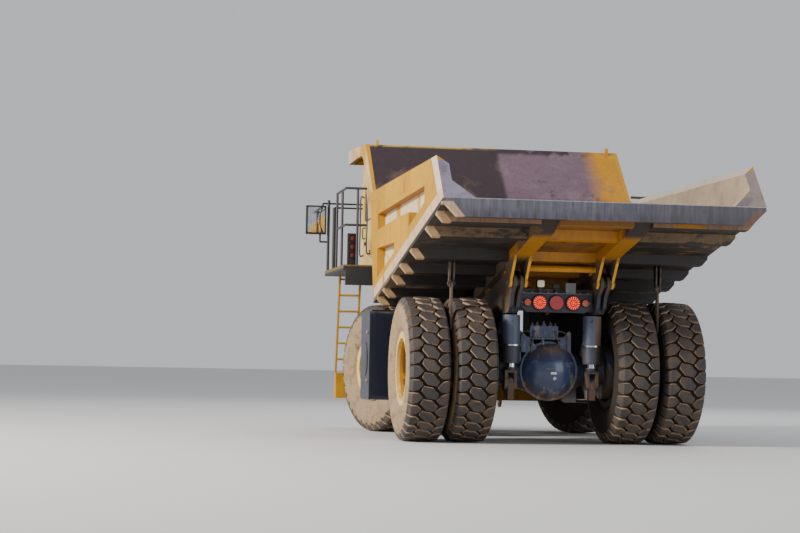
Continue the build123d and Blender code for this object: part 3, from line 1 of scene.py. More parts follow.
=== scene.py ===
"""Appearance of a rigid off-highway haul truck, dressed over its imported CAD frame."""

import json
import logging
import math
from dataclasses import dataclass
from enum import Enum
from functools import reduce
from itertools import product
from typing import Any, NamedTuple, Sequence

import bmesh
import bpy
import numpy as np
from mathutils import Matrix, Vector


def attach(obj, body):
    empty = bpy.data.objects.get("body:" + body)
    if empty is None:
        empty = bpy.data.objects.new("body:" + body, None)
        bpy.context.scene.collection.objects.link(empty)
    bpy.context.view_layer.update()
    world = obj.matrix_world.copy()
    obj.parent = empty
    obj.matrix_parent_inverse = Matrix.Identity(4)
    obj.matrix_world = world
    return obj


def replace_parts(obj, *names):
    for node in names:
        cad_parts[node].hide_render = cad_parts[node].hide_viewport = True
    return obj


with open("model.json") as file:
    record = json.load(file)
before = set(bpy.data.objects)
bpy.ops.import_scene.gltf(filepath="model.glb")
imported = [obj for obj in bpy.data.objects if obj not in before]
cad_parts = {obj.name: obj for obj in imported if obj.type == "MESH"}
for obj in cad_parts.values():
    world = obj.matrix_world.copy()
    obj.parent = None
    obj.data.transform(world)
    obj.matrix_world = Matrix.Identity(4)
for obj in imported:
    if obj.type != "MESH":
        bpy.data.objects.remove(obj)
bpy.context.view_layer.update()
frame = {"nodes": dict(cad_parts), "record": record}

Array = np.ndarray
Triple = tuple[float, float, float]
Socket = bpy.types.NodeSocket
Material = bpy.types.Material
FORWARD, REARWARD, UPRIGHT = (0, 1, 0), (0, -1, 0), (0, 0, 1)
LOG = logging.getLogger("truck")


class Side(Enum):
    """The truck's two sides, each with the sign of its X."""

    LEFT = -1
    RIGHT = 1

    @property
    def label(self) -> str:
        """Gives the side's name as the CAD nodes write it."""
        return self.name.lower()


# ---------------------------------------------------------------- node graphs


class Graph:
    """Adds nodes to one node tree and links their sockets."""

    def __init__(self, tree: bpy.types.NodeTree) -> None:
        """Keeps the material's or group's tree."""
        self.tree = tree

    def node(self, kind: str, links: dict[Any, Any] | None = None, **props: Any) -> bpy.types.Node:
        """Makes a node, sets its properties and fills its inputs.

        Args:
            kind: The node's type name.
            links: Input name or index to an output socket or a value, which is three numbers for a colour.
            props: Properties to set on the node.

        Returns:
            The new node.
        """
        made = self.tree.nodes.new(kind)
        for key, value in props.items():
            setattr(made, key, value)
        for key, value in (links or {}).items():
            socket = made.inputs[key]
            if isinstance(value, Socket):
                self.tree.links.new(value, socket)
            else:
                socket.default_value = (*value, 1.0) if socket.type == "RGBA" else value
        return made

    def math(self, operation: str, *values: Any, clamp: bool = False) -> Socket:
        """Works out numbers and sockets, and holds the result between 0 and 1 if clamp is set."""
        return self.node("ShaderNodeMath", dict(enumerate(values)), operation=operation, use_clamp=clamp).outputs[0]

    def plus(self, *values: Any) -> Any:
        """Adds numbers and sockets."""
        return reduce(lambda first, second: self.math("ADD", first, second), values)

    def times(self, *values: Any) -> Any:
        """Multiplies numbers and sockets."""
        return reduce(lambda first, second: self.math("MULTIPLY", first, second), values)

    def length(self, x: Any, z: Any) -> Socket:
        """Gives the root of x^2 + z^2."""
        return self.math("SQRT", self.math("MULTIPLY_ADD", x, x, self.times(z, z)))

    def mix(self, factor: Any, first: Any, second: Any) -> Socket:
        """Mixes two colours: the first at factor 0, the second at 1."""
        return self.node("ShaderNodeMix", {0: factor, 6: first, 7: second}, data_type="RGBA").outputs[2]

    def blend(self, factor: Any, first: Any, second: Any) -> Socket:
        """Mixes two numbers: the first at factor 0, the second at 1."""
        return self.node("ShaderNodeMix", {0: factor, 2: first, 3: second}, data_type="FLOAT").outputs[0]

    def ramp(self, value: Any, off: float, on: float) -> Socket:
        """Maps a value smoothly from off..on to 0..1."""
        links = {"Value": value, "From Min": off, "From Max": on}
        return self.node("ShaderNodeMapRange", links, interpolation_type="SMOOTHSTEP").outputs[0]

    def noise(self, vector: Socket, scale: Any, detail: float = 4.0, rough: float = 0.55) -> Socket:
        """Makes noise of some features per metre, with octaves that each add a share."""
        links = {"Vector": vector, "Scale": scale, "Detail": detail, "Roughness": rough}
        return self.node("ShaderNodeTexNoise", links).outputs[0]

    def vector(self, operation: str, links: dict[int, Any]) -> bpy.types.NodeOutputs:
        """Works out vectors and gives all results."""
        return self.node("ShaderNodeVectorMath", links, operation=operation).outputs

    def split(self, vector: Socket) -> bpy.types.NodeOutputs:
        """Gives a vector's three parts."""
        return self.node("ShaderNodeSeparateXYZ", {0: vector}).outputs

    def coordinates(self) -> bpy.types.NodeOutputs:
        """Gives the surface's coordinates: Object in the model's frame, and Normal."""
        return self.node("ShaderNodeTexCoord").outputs

    def group(self, tree: bpy.types.NodeTree, links: dict[str, Any]) -> bpy.types.NodeOutputs:
        """Places a shared group and gives its results."""
        return self.node("ShaderNodeGroup", links, node_tree=tree).outputs

    def bump(self, height: Socket, strength: float, distance: float) -> Socket:
        """Turns a height into a normal."""
        return self.node("ShaderNodeBump", {"Strength": strength, "Distance": distance, "Height": height}).outputs[0]


class Effects:
    """Node groups that several materials share."""

    def __init__(self) -> None:
        """Builds every group once."""
        self.dust, self.wear = self._dust(), self._wear()
        self.streaks, self.grain = self._streaks(), self._grain()

    @staticmethod
    def _open(name: str, inputs: dict[str, Any], *outputs: str) -> tuple[Graph, Any, Socket]:
        """Starts a group with its sockets.

        Args:
            name: The group's name.
            inputs: Each input's name and default, a number or three.
            outputs: The outputs' names.

        Returns:
            The group's graph, its input sockets and the coordinates.
        """
        tree = bpy.data.node_groups.new(name, "ShaderNodeTree")
        for label, default in inputs.items():
            kind = "NodeSocketVector" if isinstance(default, tuple) else "NodeSocketFloat"
            tree.interface.new_socket(name=label, in_out="INPUT", socket_type=kind).default_value = default
        for label in outputs:
            tree.interface.new_socket(name=label, in_out="OUTPUT", socket_type="NodeSocketFloat")
        graph = Graph(tree)
        return graph, graph.node("NodeGroupInput").outputs, graph.coordinates()["Object"]

    @staticmethod
    def _close(graph: Graph, *results: Socket) -> bpy.types.NodeTree:
        """Links the results to the group's outputs, and gives its tree."""
        graph.node("NodeGroupOutput", dict(enumerate(results)))
        return graph.tree

    def _dust(self) -> bpy.types.NodeTree:
        """Builds the dust mask: more on faces that look up and near the ground, broken by two noises.

        Returns:
            The group's tree.
        """
        graph, given, place = self._open("Dust", {"Amount": 0.5, "Low": 0.0}, "Mask")
        up = graph.ramp(graph.split(graph.coordinates()["Normal"])[2], -0.2, 1.0)
        near_ground = graph.ramp(graph.split(place)[2], 2.4, 0.2)
        broad, fine = graph.noise(place, 1.7, 5.0, 0.6), graph.noise(place, 23.0, 6.0, 0.65)
        clouds = graph.plus(graph.times(broad, 0.75), graph.times(fine, 0.35))
        level = graph.plus(graph.times(up, 0.45), clouds, graph.times(near_ground, given["Low"]), given["Amount"])
        return self._close(graph, graph.ramp(level, 0.72, 1.5))

    def _wear(self) -> bpy.types.NodeTree:
        """Builds the edge wear mask: where a rounded normal leaves the true one, and in chips.

        Returns:
            The group's tree.
        """
        graph, given, place = self._open("EdgeWear", {"Amount": 0.5}, "Mask")
        bevel = graph.node("ShaderNodeBevel", {"Radius": 0.012}, samples=4).outputs[0]
        true_normal = graph.node("ShaderNodeNewGeometry").outputs["True Normal"]
        edge = graph.ramp(graph.vector("DOT_PRODUCT", {0: bevel, 1: true_normal})["Value"], 0.995, 0.85)
        chips = graph.ramp(graph.noise(place, 5.0, 9.0, 0.72), 0.64, 0.68)
        edge = graph.times(edge, graph.ramp(graph.noise(place, 14.0, 8.0, 0.7), 0.35, 0.62))
        level = graph.math("MAXIMUM", edge, graph.times(chips, 0.8))
        return self._close(graph, graph.math("MULTIPLY", level, given["Amount"], clamp=True))

    def _streaks(self) -> bpy.types.NodeTree:
        """Builds long streaks: noise squeezed across and drawn out along one way.

        Returns:
            The group's tree.
        """
        graph, given, place = self._open("Streaks", {"Squeeze": (18.0, 18.0, 1.2)}, "Mask", "Fine")
        drawn = graph.vector("MULTIPLY", {0: place, 1: given["Squeeze"]})[0]
        runs = graph.ramp(graph.noise(drawn, 1.0, 6.0, 0.6), 0.38, 0.66)
        return self._close(graph, runs, graph.noise(drawn, 4.0, 4.0, 0.6))

    def _grain(self) -> bpy.types.NodeTree:
        """Builds a fine surface height: orange peel and grit.

        Returns:
            The group's tree.
        """
        graph, given, place = self._open("Grain", {"Scale": 160.0}, "Height")
        fine = graph.noise(place, given["Scale"], 3.0, 0.5)
        return self._close(graph, graph.plus(graph.times(fine, 0.12), graph.noise(place, 3.0, 3.0, 0.5)))


# ---------------------------------------------------------------- finishes


class Measure(Enum):
    """What a limit reads at a point of the surface, in the model's own frame."""

    X = "x"
    Y = "y"
    Z = "z"
    SPAN = "distance from the middle plane"
    OUTWARD = "normal away from the middle plane"
    AHEAD = "forward part of the normal"
    UP = "upward part of the normal"
    OVER_FLOOR = "height over the bed floor's top"
    FROM_TAIL = "distance ahead of the bed's leaning tail"
    FROM_END = "distance inward from the slanted ends under the bed"
    FROM_COVER = "distance from the axle cover's middle"
    RELIEF = "tread relief"
    WALL = "tyre side wall"


X, Y, Z, SPAN, OUTWARD, AHEAD, UP, OVER_FLOOR, FROM_TAIL, FROM_END, FROM_COVER, RELIEF, WALL = Measure


class Reader:
    """Makes each measure's socket once for one material."""

    def __init__(self, graph: Graph) -> None:
        """Reads the coordinates and the normal of a material's graph."""
        coords = graph.coordinates()
        self.graph, self.place = graph, coords["Object"]
        self._axes, self._normal = graph.split(self.place), graph.split(coords["Normal"])
        self._made: dict[Measure, Socket] = {}

    def read(self, measure: Measure) -> Socket:
        """Gives a measure's socket.

        Args:
            measure: What to read.

        Returns:
            Its socket.
        """
        if measure not in self._made:
            self._made[measure] = self._make(measure)
        return self._made[measure]

    def _make(self, measure: Measure) -> Socket:
        """Works a measure out.

        OVER_FLOOR is z - (3.3 - 0.195 (y + 4.685)), FROM_TAIL is y + 4.685 - 0.908 (z - 3.3), FROM_END is
        2.265 + 0.833 OVER_FLOOR - |x|, and FROM_COVER is the root of x^2 + (z - 1.06)^2.

        Args:
            measure: What to read.

        Returns:
            Its socket.
        """
        graph, (x, y, z) = self.graph, self._axes
        plain = {X: x, Y: y, Z: z, AHEAD: self._normal[1], UP: self._normal[2]}
        if measure in plain:
            return plain[measure]
        if measure is SPAN:
            return graph.math("ABSOLUTE", x)
        if measure is OUTWARD:
            return graph.times(self._normal[0], graph.math("SIGN", x))
        if measure is OVER_FLOOR:
            return graph.math("MULTIPLY_ADD", graph.plus(y, 4.685), 0.195, graph.math("SUBTRACT", z, 3.3))
        if measure is FROM_TAIL:
            return graph.math("MULTIPLY_ADD", graph.math("SUBTRACT", z, 3.3), -0.908, graph.plus(y, 4.685))
        if measure is FROM_END:
            slanted = graph.math("MULTIPLY_ADD", self.read(OVER_FLOOR), 0.833, 2.265)
            return graph.math("SUBTRACT", slanted, self.read(SPAN))
        if measure is FROM_COVER:
            return graph.length(x, graph.math("SUBTRACT", z, 1.06))
        return graph.node("ShaderNodeAttribute", attribute_name=measure.name.lower()).outputs["Fac"]


class Speckle(NamedTuple):
    """Patches of noise: features per metre, the values that give 0 and 1, and a squeeze on each axis or None."""

    scale: float
    off: float
    on: float
    squeeze: Triple | None = None


@dataclass(frozen=True)
class Layer:
    """One colour laid over a coat where its limits and its speckle meet.

    Attributes:
        shown: The layer's colour as shown, 0 to 255.
        limits: Soft borders, each a measure with the values that give 0 and 1.
        speckle: Patches that break it up.
        strength: How much it covers.
        rough: Its roughness.
        metal: Its metallic value.
    """

    shown: Triple
    limits: tuple[tuple[Measure, float, float], ...] = ()
    speckle: Speckle | None = None
    strength: float = 1.0
    rough: float = 0.62
    metal: float = 0.0

    def mask(self, reader: Reader) -> Any:
        """Multiplies the layer's limits and speckle.

        Args:
            reader: The material's measures.

        Returns:
            The mask's socket, or a number.
        """
        graph = reader.graph
        parts = [graph.ramp(reader.read(measure), off, on) for measure, off, on in self.limits]
        if self.speckle:
            scale, off, on, squeeze = self.speckle
            drawn = graph.vector("MULTIPLY", {0: reader.place, 1: squeeze})[0] if squeeze else reader.place
            parts.append(graph.ramp(graph.noise(drawn, scale, 7.0, 0.65), off, on))
        return graph.times(self.strength, *parts)


def tone(shown: Triple) -> Triple:
    """Turns a colour as shown, 0 to 255, into a linear one: ((c / 255 + 0.055) / 1.055) ^ 2.4."""
    return tuple(((c / 255 + 0.055) / 1.055) ** 2.4 for c in shown)


GOLD = (184, 132, 0)
PALE_GOLD = (208, 158, 0)
# Darker gold for faces that look down: painted shade.
SHADED_GOLD = (158, 98, 4)
CREAM = (218, 198, 160)
# Near black: soot with painted shade, used under the bed and inside the rear rims.
SOOT_AND_SHADE = (38, 31, 28)
EARTH = (132, 108, 84)
RUST = (92, 52, 28)


@dataclass(frozen=True)
class Finish:
    """Base of the finishes: one Principled shader whose inputs each finish works out.

    Attributes:
        name: The material's name.
    """

    name: str

    def inputs(self, graph: Graph, effects: Effects) -> dict[str, Any]:
        """Works out the shader's inputs.

        Args:
            graph: The material's graph.
            effects: The shared node groups.

        Returns:
            Input name to a value or a socket.
        """
        raise NotImplementedError

    def build(self, effects: Effects) -> Material:
        """Builds the material.

        Args:
            effects: The shared node groups.

        Returns:
            The material.
        """
        material = bpy.data.materials.new(self.name)
        material.use_nodes = True
        material.node_tree.nodes.clear()
        graph = Graph(material.node_tree)
        shader = graph.node("ShaderNodeBsdfPrincipled", self.inputs(graph, effects))
        graph.node("ShaderNodeOutputMaterial", {0: shader.outputs[0]})
        return material


@dataclass(frozen=True)
class Coat(Finish):
    """A coat over steel or rubber: layers of wear, dirt, painted shade and painted highlights, runs of dirt, bare
    edges and dust.

    Attributes:
        shown: The coat's colour as shown, 0 to 255.
        layers: What lies over it, lowest first.
        rough: The clean coat's roughness.
        metal: The clean coat's metallic value.
        mottle: How much its colour varies.
        streak: How dark the runs of dirt are.
        run: Squeeze of the runs on each axis.
        wear: How much is worn off at edges and in chips.
        bare: The colour under the coat, as shown.
        dust: How much dust lies on it, about -0.4 to 0.6.
        low: Extra dust near the ground.
        soil: The dust's colour, as shown.
        grain: Features per metre of the fine bump.
        bump: The bump's strength.
        gloss: Weight of a clear layer on top.
    """

    shown: Triple
    layers: tuple[Layer, ...] = ()
    rough: float = 0.45
    metal: float = 0.0
    mottle: float = 1.0
    streak: float = 0.3
    run: Triple = (18.0, 18.0, 1.2)
    wear: float = 0.5
    bare: Triple = RUST
    dust: float = 0.0
    low: float = 0.2
    soil: Triple = EARTH
    grain: float = 170.0
    bump: float = 0.25
    gloss: float = 0.0

    def inputs(self, graph: Graph, effects: Effects) -> dict[str, Any]:
        """Lays the layers, the mottling, the runs, the bare metal and the dust over the coat.

        Args:
            graph: The material's graph.
            effects: The shared node groups.

        Returns:
            Input name to a value or a socket.
        """
        reader = Reader(graph)
        broad = graph.ramp(graph.noise(reader.place, 1.1, 5.0), 0.3, 0.7)
        close = graph.ramp(graph.noise(reader.place, 8.0, 7.0, 0.7), 0.48, 0.8)
        base: Any = tone(self.shown)
        rough: Any = self.rough
        metal: Any = self.metal
        for layer in self.layers:
            mask = layer.mask(reader)
            base = graph.mix(mask, base, tone(layer.shown))
            rough = graph.blend(mask, rough, layer.rough)
            metal = graph.blend(mask, metal, layer.metal)
        runs = graph.group(effects.streaks, {"Squeeze": self.run})
        shade = graph.times(
            graph.blend(graph.times(broad, 0.5 * self.mottle), 1.0, 0.72),
            graph.blend(graph.times(close, self.mottle), 1.0, 0.7),
            graph.blend(runs["Mask"], 1.0, 1.0 - self.streak),
        )
        base = graph.vector("SCALE", {0: base, 3: shade})[0]
        chipped = graph.group(effects.wear, {"Amount": self.wear})["Mask"]
        dust = graph.group(effects.dust, {"Amount": self.dust, "Low": self.low})["Mask"]
        grain = graph.group(effects.grain, {"Scale": self.grain})[0]
        height = graph.math("MULTIPLY_ADD", runs["Fine"], 0.2 + self.streak, grain)
        return {
            "Base Color": graph.mix(dust, graph.mix(chipped, base, tone(self.bare)), tone(self.soil)),
            "Roughness": graph.blend(dust, graph.blend(chipped, rough, 0.6), 0.92),
            "Metallic": metal,
            "Coat Weight": self.gloss,
            "Normal": graph.bump(height, self.bump, 0.006),
        }


@dataclass(frozen=True)
class Lens(Finish):
    """Round tail lamps: bright dashes that point away from each lamp's centre, or a dull reflector.

    Attributes:
        lit: The dashes' colour.
        dull: The lens between them.
        reflector: The unlit middle lamp.
        amber: The small outer lamps.
        grime: The dirt on all of them.
        spacing: Distance between the large lamps' centres, in metres.
        middle_z: The lamps' height, in metres.
        glow: The dashes' strength.
    """

    lit: Triple = (1.0, 0.035, 0.002)
    dull: Triple = (0.09, 0.001, 0.001)
    reflector: Triple = (0.50, 0.02, 0.04)
    amber: Triple = (0.60, 0.10, 0.03)
    grime: Triple = (0.24, 0.15, 0.11)
    spacing: float = 0.25
    middle_z: float = 2.05
    glow: float = 2.4

    @staticmethod
    def _ring(graph: Graph, radius: Socket, turn: Socket, inner: float, outer: float, count: int) -> Socket:
        """Makes one ring of dashes: |phase| under 0.21 of a step, and the radius within the ring.

        Args:
            graph: The material's graph.
            radius: Distance from the lamp's centre.
            turn: Angle round it.
            inner: The dashes' inner end.
            outer: Their outer end.
            count: Dashes in the ring.

        Returns:
            The mask's socket.
        """
        phase = graph.times(turn, count / (2 * math.pi))
        away = graph.math("ABSOLUTE", graph.math("SUBTRACT", phase, graph.math("ROUND", phase)))
        start = graph.ramp(radius, inner - 0.002, inner + 0.002)
        end = graph.ramp(radius, outer + 0.002, outer - 0.002)
        return graph.times(graph.ramp(away, 0.26, 0.16), graph.times(start, end))

    def inputs(self, graph: Graph, effects: Effects) -> dict[str, Any]:
        """Works from the distance and angle round the nearest lamp's centre.

        Args:
            graph: The material's graph.
            effects: The shared node groups.

        Returns:
            Input name to a value or a socket.
        """
        place = graph.coordinates()["Object"]
        x, _, z = graph.split(place)
        snapped = graph.math("SNAP", graph.plus(x, self.spacing * 8.5), self.spacing)
        dx = graph.math("SUBTRACT", x, graph.math("SUBTRACT", snapped, self.spacing * 8))
        dz = graph.math("SUBTRACT", z, self.middle_z)
        radius, turn = graph.length(dx, dz), graph.math("ARCTAN2", dz, dx)
        rings = [self._ring(graph, radius, turn, *ring) for ring in ((0.052, 0.092, 16), (0.024, 0.042, 9))]
        dashes = graph.math("MAXIMUM", graph.math("MAXIMUM", *rings), graph.ramp(radius, 0.017, 0.012))
        away = graph.math("ABSOLUTE", x)
        lit = graph.times(graph.ramp(away, 0.12, 0.14), graph.ramp(away, 0.37, 0.36))
        glow = graph.math("MULTIPLY_ADD", lit, 0.03, graph.times(dashes, lit))
        base = graph.mix(graph.ramp(away, 0.36, 0.37), graph.mix(lit, self.reflector, self.dull), self.amber)
        studded = graph.node("ShaderNodeTexVoronoi", {"Vector": place, "Scale": 95.0}).outputs["Distance"]
        return {
            "Base Color": graph.mix(graph.times(graph.noise(place, 34.0, 5.0), 0.4), base, self.grime),
            "Roughness": 0.25,
            "Emission Color": graph.mix(glow, (0.0, 0.0, 0.0), self.lit),
            "Emission Strength": self.glow,
            "Normal": graph.bump(studded, 0.4, 0.003),
        }


@dataclass(frozen=True)
class Plain(Finish):
    """A small part's finish with mottling, dust and a fine bump.

    Attributes:
        colour: The base colour, linear.
        rough: The roughness.
        metal: The metallic value.
        dust: How much dust lies on it.
        grain: The bump's features per metre.
        clear: Transmission, for glass.
        glow: Emission strength.
    """

    colour: Triple
    rough: float = 0.5
    metal: float = 0.0
    dust: float = 0.0
    grain: float = 120.0
    clear: float = 0.0
    glow: float = 0.0

    def inputs(self, graph: Graph, effects: Effects) -> dict[str, Any]:
        """Mottles the colour and lays dust on it.

        Args:
            graph: The material's graph.
            effects: The shared node groups.

        Returns:
            Input name to a value or a socket.
        """
        mottle = graph.ramp(graph.noise(graph.coordinates()["Object"], 11.0, 6.0, 0.65), 0.3, 0.75)
        base = graph.mix(mottle, self.colour, tuple(c * 0.7 for c in self.colour))
        dust = graph.group(effects.dust, {"Amount": self.dust, "Low": 0.1})["Mask"]
        return {
            "Base Color": graph.mix(dust, base, tone(EARTH)),
            "Roughness": graph.blend(dust, self.rough, 0.9),
            "Metallic": self.metal,
            "Transmission Weight": self.clear,
            "Emission Color": self.colour,
            "Emission Strength": self.glow,
            "Normal": graph.bump(graph.group(effects.grain, {"Scale": self.grain})[0], 0.2, 0.003),
        }


@dataclass(frozen=True)
class Cloth(Finish):
    """Woven seat cloth with a fine over-and-under weave.

    Attributes:
        colour: The yarn, linear.
        threads: Threads per metre.
    """

    colour: Triple
    threads: float = 520.0

    def inputs(self, graph: Graph, effects: Effects) -> dict[str, Any]:
        """Weaves the cloth: its height is sin(k x) sin(k (y + z)).

        Args:
            graph: The material's graph.
            effects: The shared node groups.

        Returns:
            Input name to a value or a socket.
        """
        x, y, z = graph.split(graph.coordinates()["Object"])
        ways = (graph.times(way, self.threads * math.pi) for way in (x, graph.plus(y, z)))
        weave = graph.times(*(graph.math("SINE", way) for way in ways))
        pale = tuple(min(1.0, c * 1.7 + 0.01) for c in self.colour)
        base = graph.mix(graph.ramp(weave, -0.8, 0.9), self.colour, pale)
        dust = graph.group(effects.dust, {"Amount": -0.12, "Low": 0.0})["Mask"]
        return {
            "Base Color": graph.mix(dust, base, tone(EARTH)),
            "Roughness": 0.9,
            "Sheen Weight": 0.3,
            "Normal": graph.bump(weave, 0.5, 0.001),
        }


# ---------------------------------------------------------------- surfaces


def unit(vector: Array) -> Array:
    """Scales vectors of shape (..., 3) to length 1."""
    return vector / np.maximum(np.linalg.norm(vector, axis=-1, keepdims=True), 1e-12)


def around(count: int, start: float = 0.0) -> Array:
    """Spaces angles round a circle: t_k = start + 2 pi k / count."""
    return start + np.linspace(0, 2 * math.pi, count, endpoint=False)


def wheel(turn: Array, first: Array, second: Array) -> Array:
    """Gives cos t * first + sin t * second along a new last axis."""
    return np.cos(turn)[..., None] * first + np.sin(turn)[..., None] * second


def basis(axis: Sequence[float]) -> tuple[Array, Array, Array]:
    """Gives three unit vectors, the first along the axis.

    Args:
        axis: The direction.

    Returns:
        The axis a, and b and c with a x b = c.
    """
    a = unit(np.asarray(axis, float))
    helper = np.array([0.0, 0.0, 1.0]) if abs(a[2]) < 0.9 else np.array([0.0, 1.0, 0.0])
    b = unit(helper - a * helper.dot(a))
    return a, b, np.cross(a, b)


def lathe(profile: Sequence[tuple[float, float]], centres: Any, axis: Sequence[float], sides: int) -> Array:
    """Turns a profile round an axis, once at each centre.

    P(i, j) = centre + x_i * a + r_i * (cos t_j * b + sin t_j * c).

    Args:
        profile: Points (x along the axis, r from it).
        centres: One point or an array of shape (n, 3).
        axis: The axis' direction.
        sides: Points round the circle.

    Returns:
        Array of shape (n, len(profile), sides, 3).
    """
    a, b, c = basis(axis)
    rows = np.asarray(profile, float)[..., None, None]
    one = rows[:, 0] * a + rows[:, 1] * wheel(around(sides), b, c)
    return np.atleast_2d(np.asarray(centres, float))[:, None, None, :] + one


def circle_points(centre: Any, axis: Sequence[float], radius: float, count: int, start: float = 0.0) -> Array:
    """Spaces points round a circle: P(k) = centre + radius * (cos t_k * b + sin t_k * c).

    Args:
        centre: The circle's centre.
        axis: Its normal.
        radius: Its radius.
        count: Number of points.
        start: First angle, in radians.

    Returns:
        Array of shape (count, 3).
    """
    _, b, c = basis(axis)
    return np.asarray(centre, float) + radius * wheel(around(count, start), b, c)


def smooth_path(corners: Sequence[Sequence[float]], steps: int = 8) -> Array:
    """Draws a Catmull-Rom curve through points.

    P(t) = 0.5 * (2 p1 + (p2 - p0) t + (2 p0 - 5 p1 + 4 p2 - p3) t^2 + (3 p1 - p0 - 3 p2 + p3) t^3).

    Args:
        corners: The points.
        steps: Samples on each span.

    Returns:
        Array of shape (m, 3).
    """
    p = np.asarray(corners, float)
    p = np.vstack([2 * p[0] - p[1], p, 2 * p[-1] - p[-2]])
    t = np.linspace(0, 1, steps, endpoint=False)[None, :, None]
    p0, p1, p2, p3 = (p[i : len(p) - 3 + i, None, :] for i in range(4))
    bend, twist = 2 * p0 - 5 * p1 + 4 * p2 - p3, 3 * p1 - p0 - 3 * p2 + p3
    return np.vstack([(0.5 * (2 * p1 + (p2 - p0) * t + bend * t**2 + twist * t**3)).reshape(-1, 3), p[-2]])


def sweep(path: Array, radius: float, sides: int) -> Array:
    """Sweeps a circle along a path.

    P(i, j) = p_i + r * (cos t_j * n_i + sin t_j * b_i), with n_i and b_i square to the path.

    Args:
        path: Points of shape (m, 3).
        radius: The tube's radius.
        sides: Points round the tube.

    Returns:
        Array of shape (m, sides, 3).
    """
    along = unit(np.gradient(path, axis=0))
    helper = np.array([0.31, 0.17, 0.93]) if abs(along[:, 2]).max() < 0.97 else np.array([0.93, 0.31, 0.17])
    normal = unit(np.cross(along, helper))
    return path[:, None, :] + radius * wheel(around(sides), normal[:, None], np.cross(along, normal)[:, None])


def rounded(turn: Array, power: float) -> tuple[Array, Array]:
    """Gives a rounded square's outline: sign(cos t) |cos t|^p and sign(sin t) |sin t|^p.

    Args:
        turn: Angles.
        power: 1 for a circle, towards 0 for a square.

    Returns:
        The two coordinates, each between -1 and 1.
    """
    c, s = np.cos(turn), np.sin(turn)
    return np.sign(c) * np.abs(c) ** power, np.sign(s) * np.abs(s) ** power


def stacked(x: Any, y: Any, z: Any) -> Array:
    """Joins three coordinates into points of shape (..., 3)."""
    return np.stack(np.broadcast_arrays(x, y, z), axis=-1)


def pillow(half: Triple, channels: int, corner: float = 0.3, edge: float = 0.5, pull: float = 0.04) -> Array:
    """Shapes a stuffed cushion about the origin, lying in the XY plane.

    x = a u(t) k, y = b v(t) k and z = h sin(w)^edge, with k = cos(w)^edge and (u, v) a rounded square. The sides pull
    in between their corners by pull (1 - y^2) and (1 - x^2), and sewn channels lower the top in lines along y.

    Args:
        half: Half its size on each axis.
        channels: Number of sewn lines.
        corner: Roundness of its corners.
        edge: Roundness of its edges.
        pull: How far the sides pull in.

    Returns:
        Array of shape (rows, columns, 3), closed at both poles.
    """
    rise = np.linspace(-math.pi / 2, math.pi / 2, 41)[:, None]
    u, v = rounded(around(96)[None, :], corner)
    k, h = rounded(rise, edge)
    x, y = u * k, v * k
    seam = 1 - np.exp(-((rise / 0.06) ** 2)) * 0.03
    lines = (np.arange(channels) + 1) / (channels + 1) * 1.5 - 0.75
    dips = sum(np.exp(-(((x - line) / 0.045) ** 2)) for line in lines)
    crown = 0.82 + 0.18 * (1 - x**2) * (1 - y**2)
    across = half[0] * x * (1 - pull * (1 - y**2) * np.abs(x)) * seam
    along = half[1] * y * (1 - pull * (1 - x**2) * np.abs(y)) * seam
    return stacked(across, along, half[2] * h * crown * (1 - 0.22 * dips * (h > 0)))


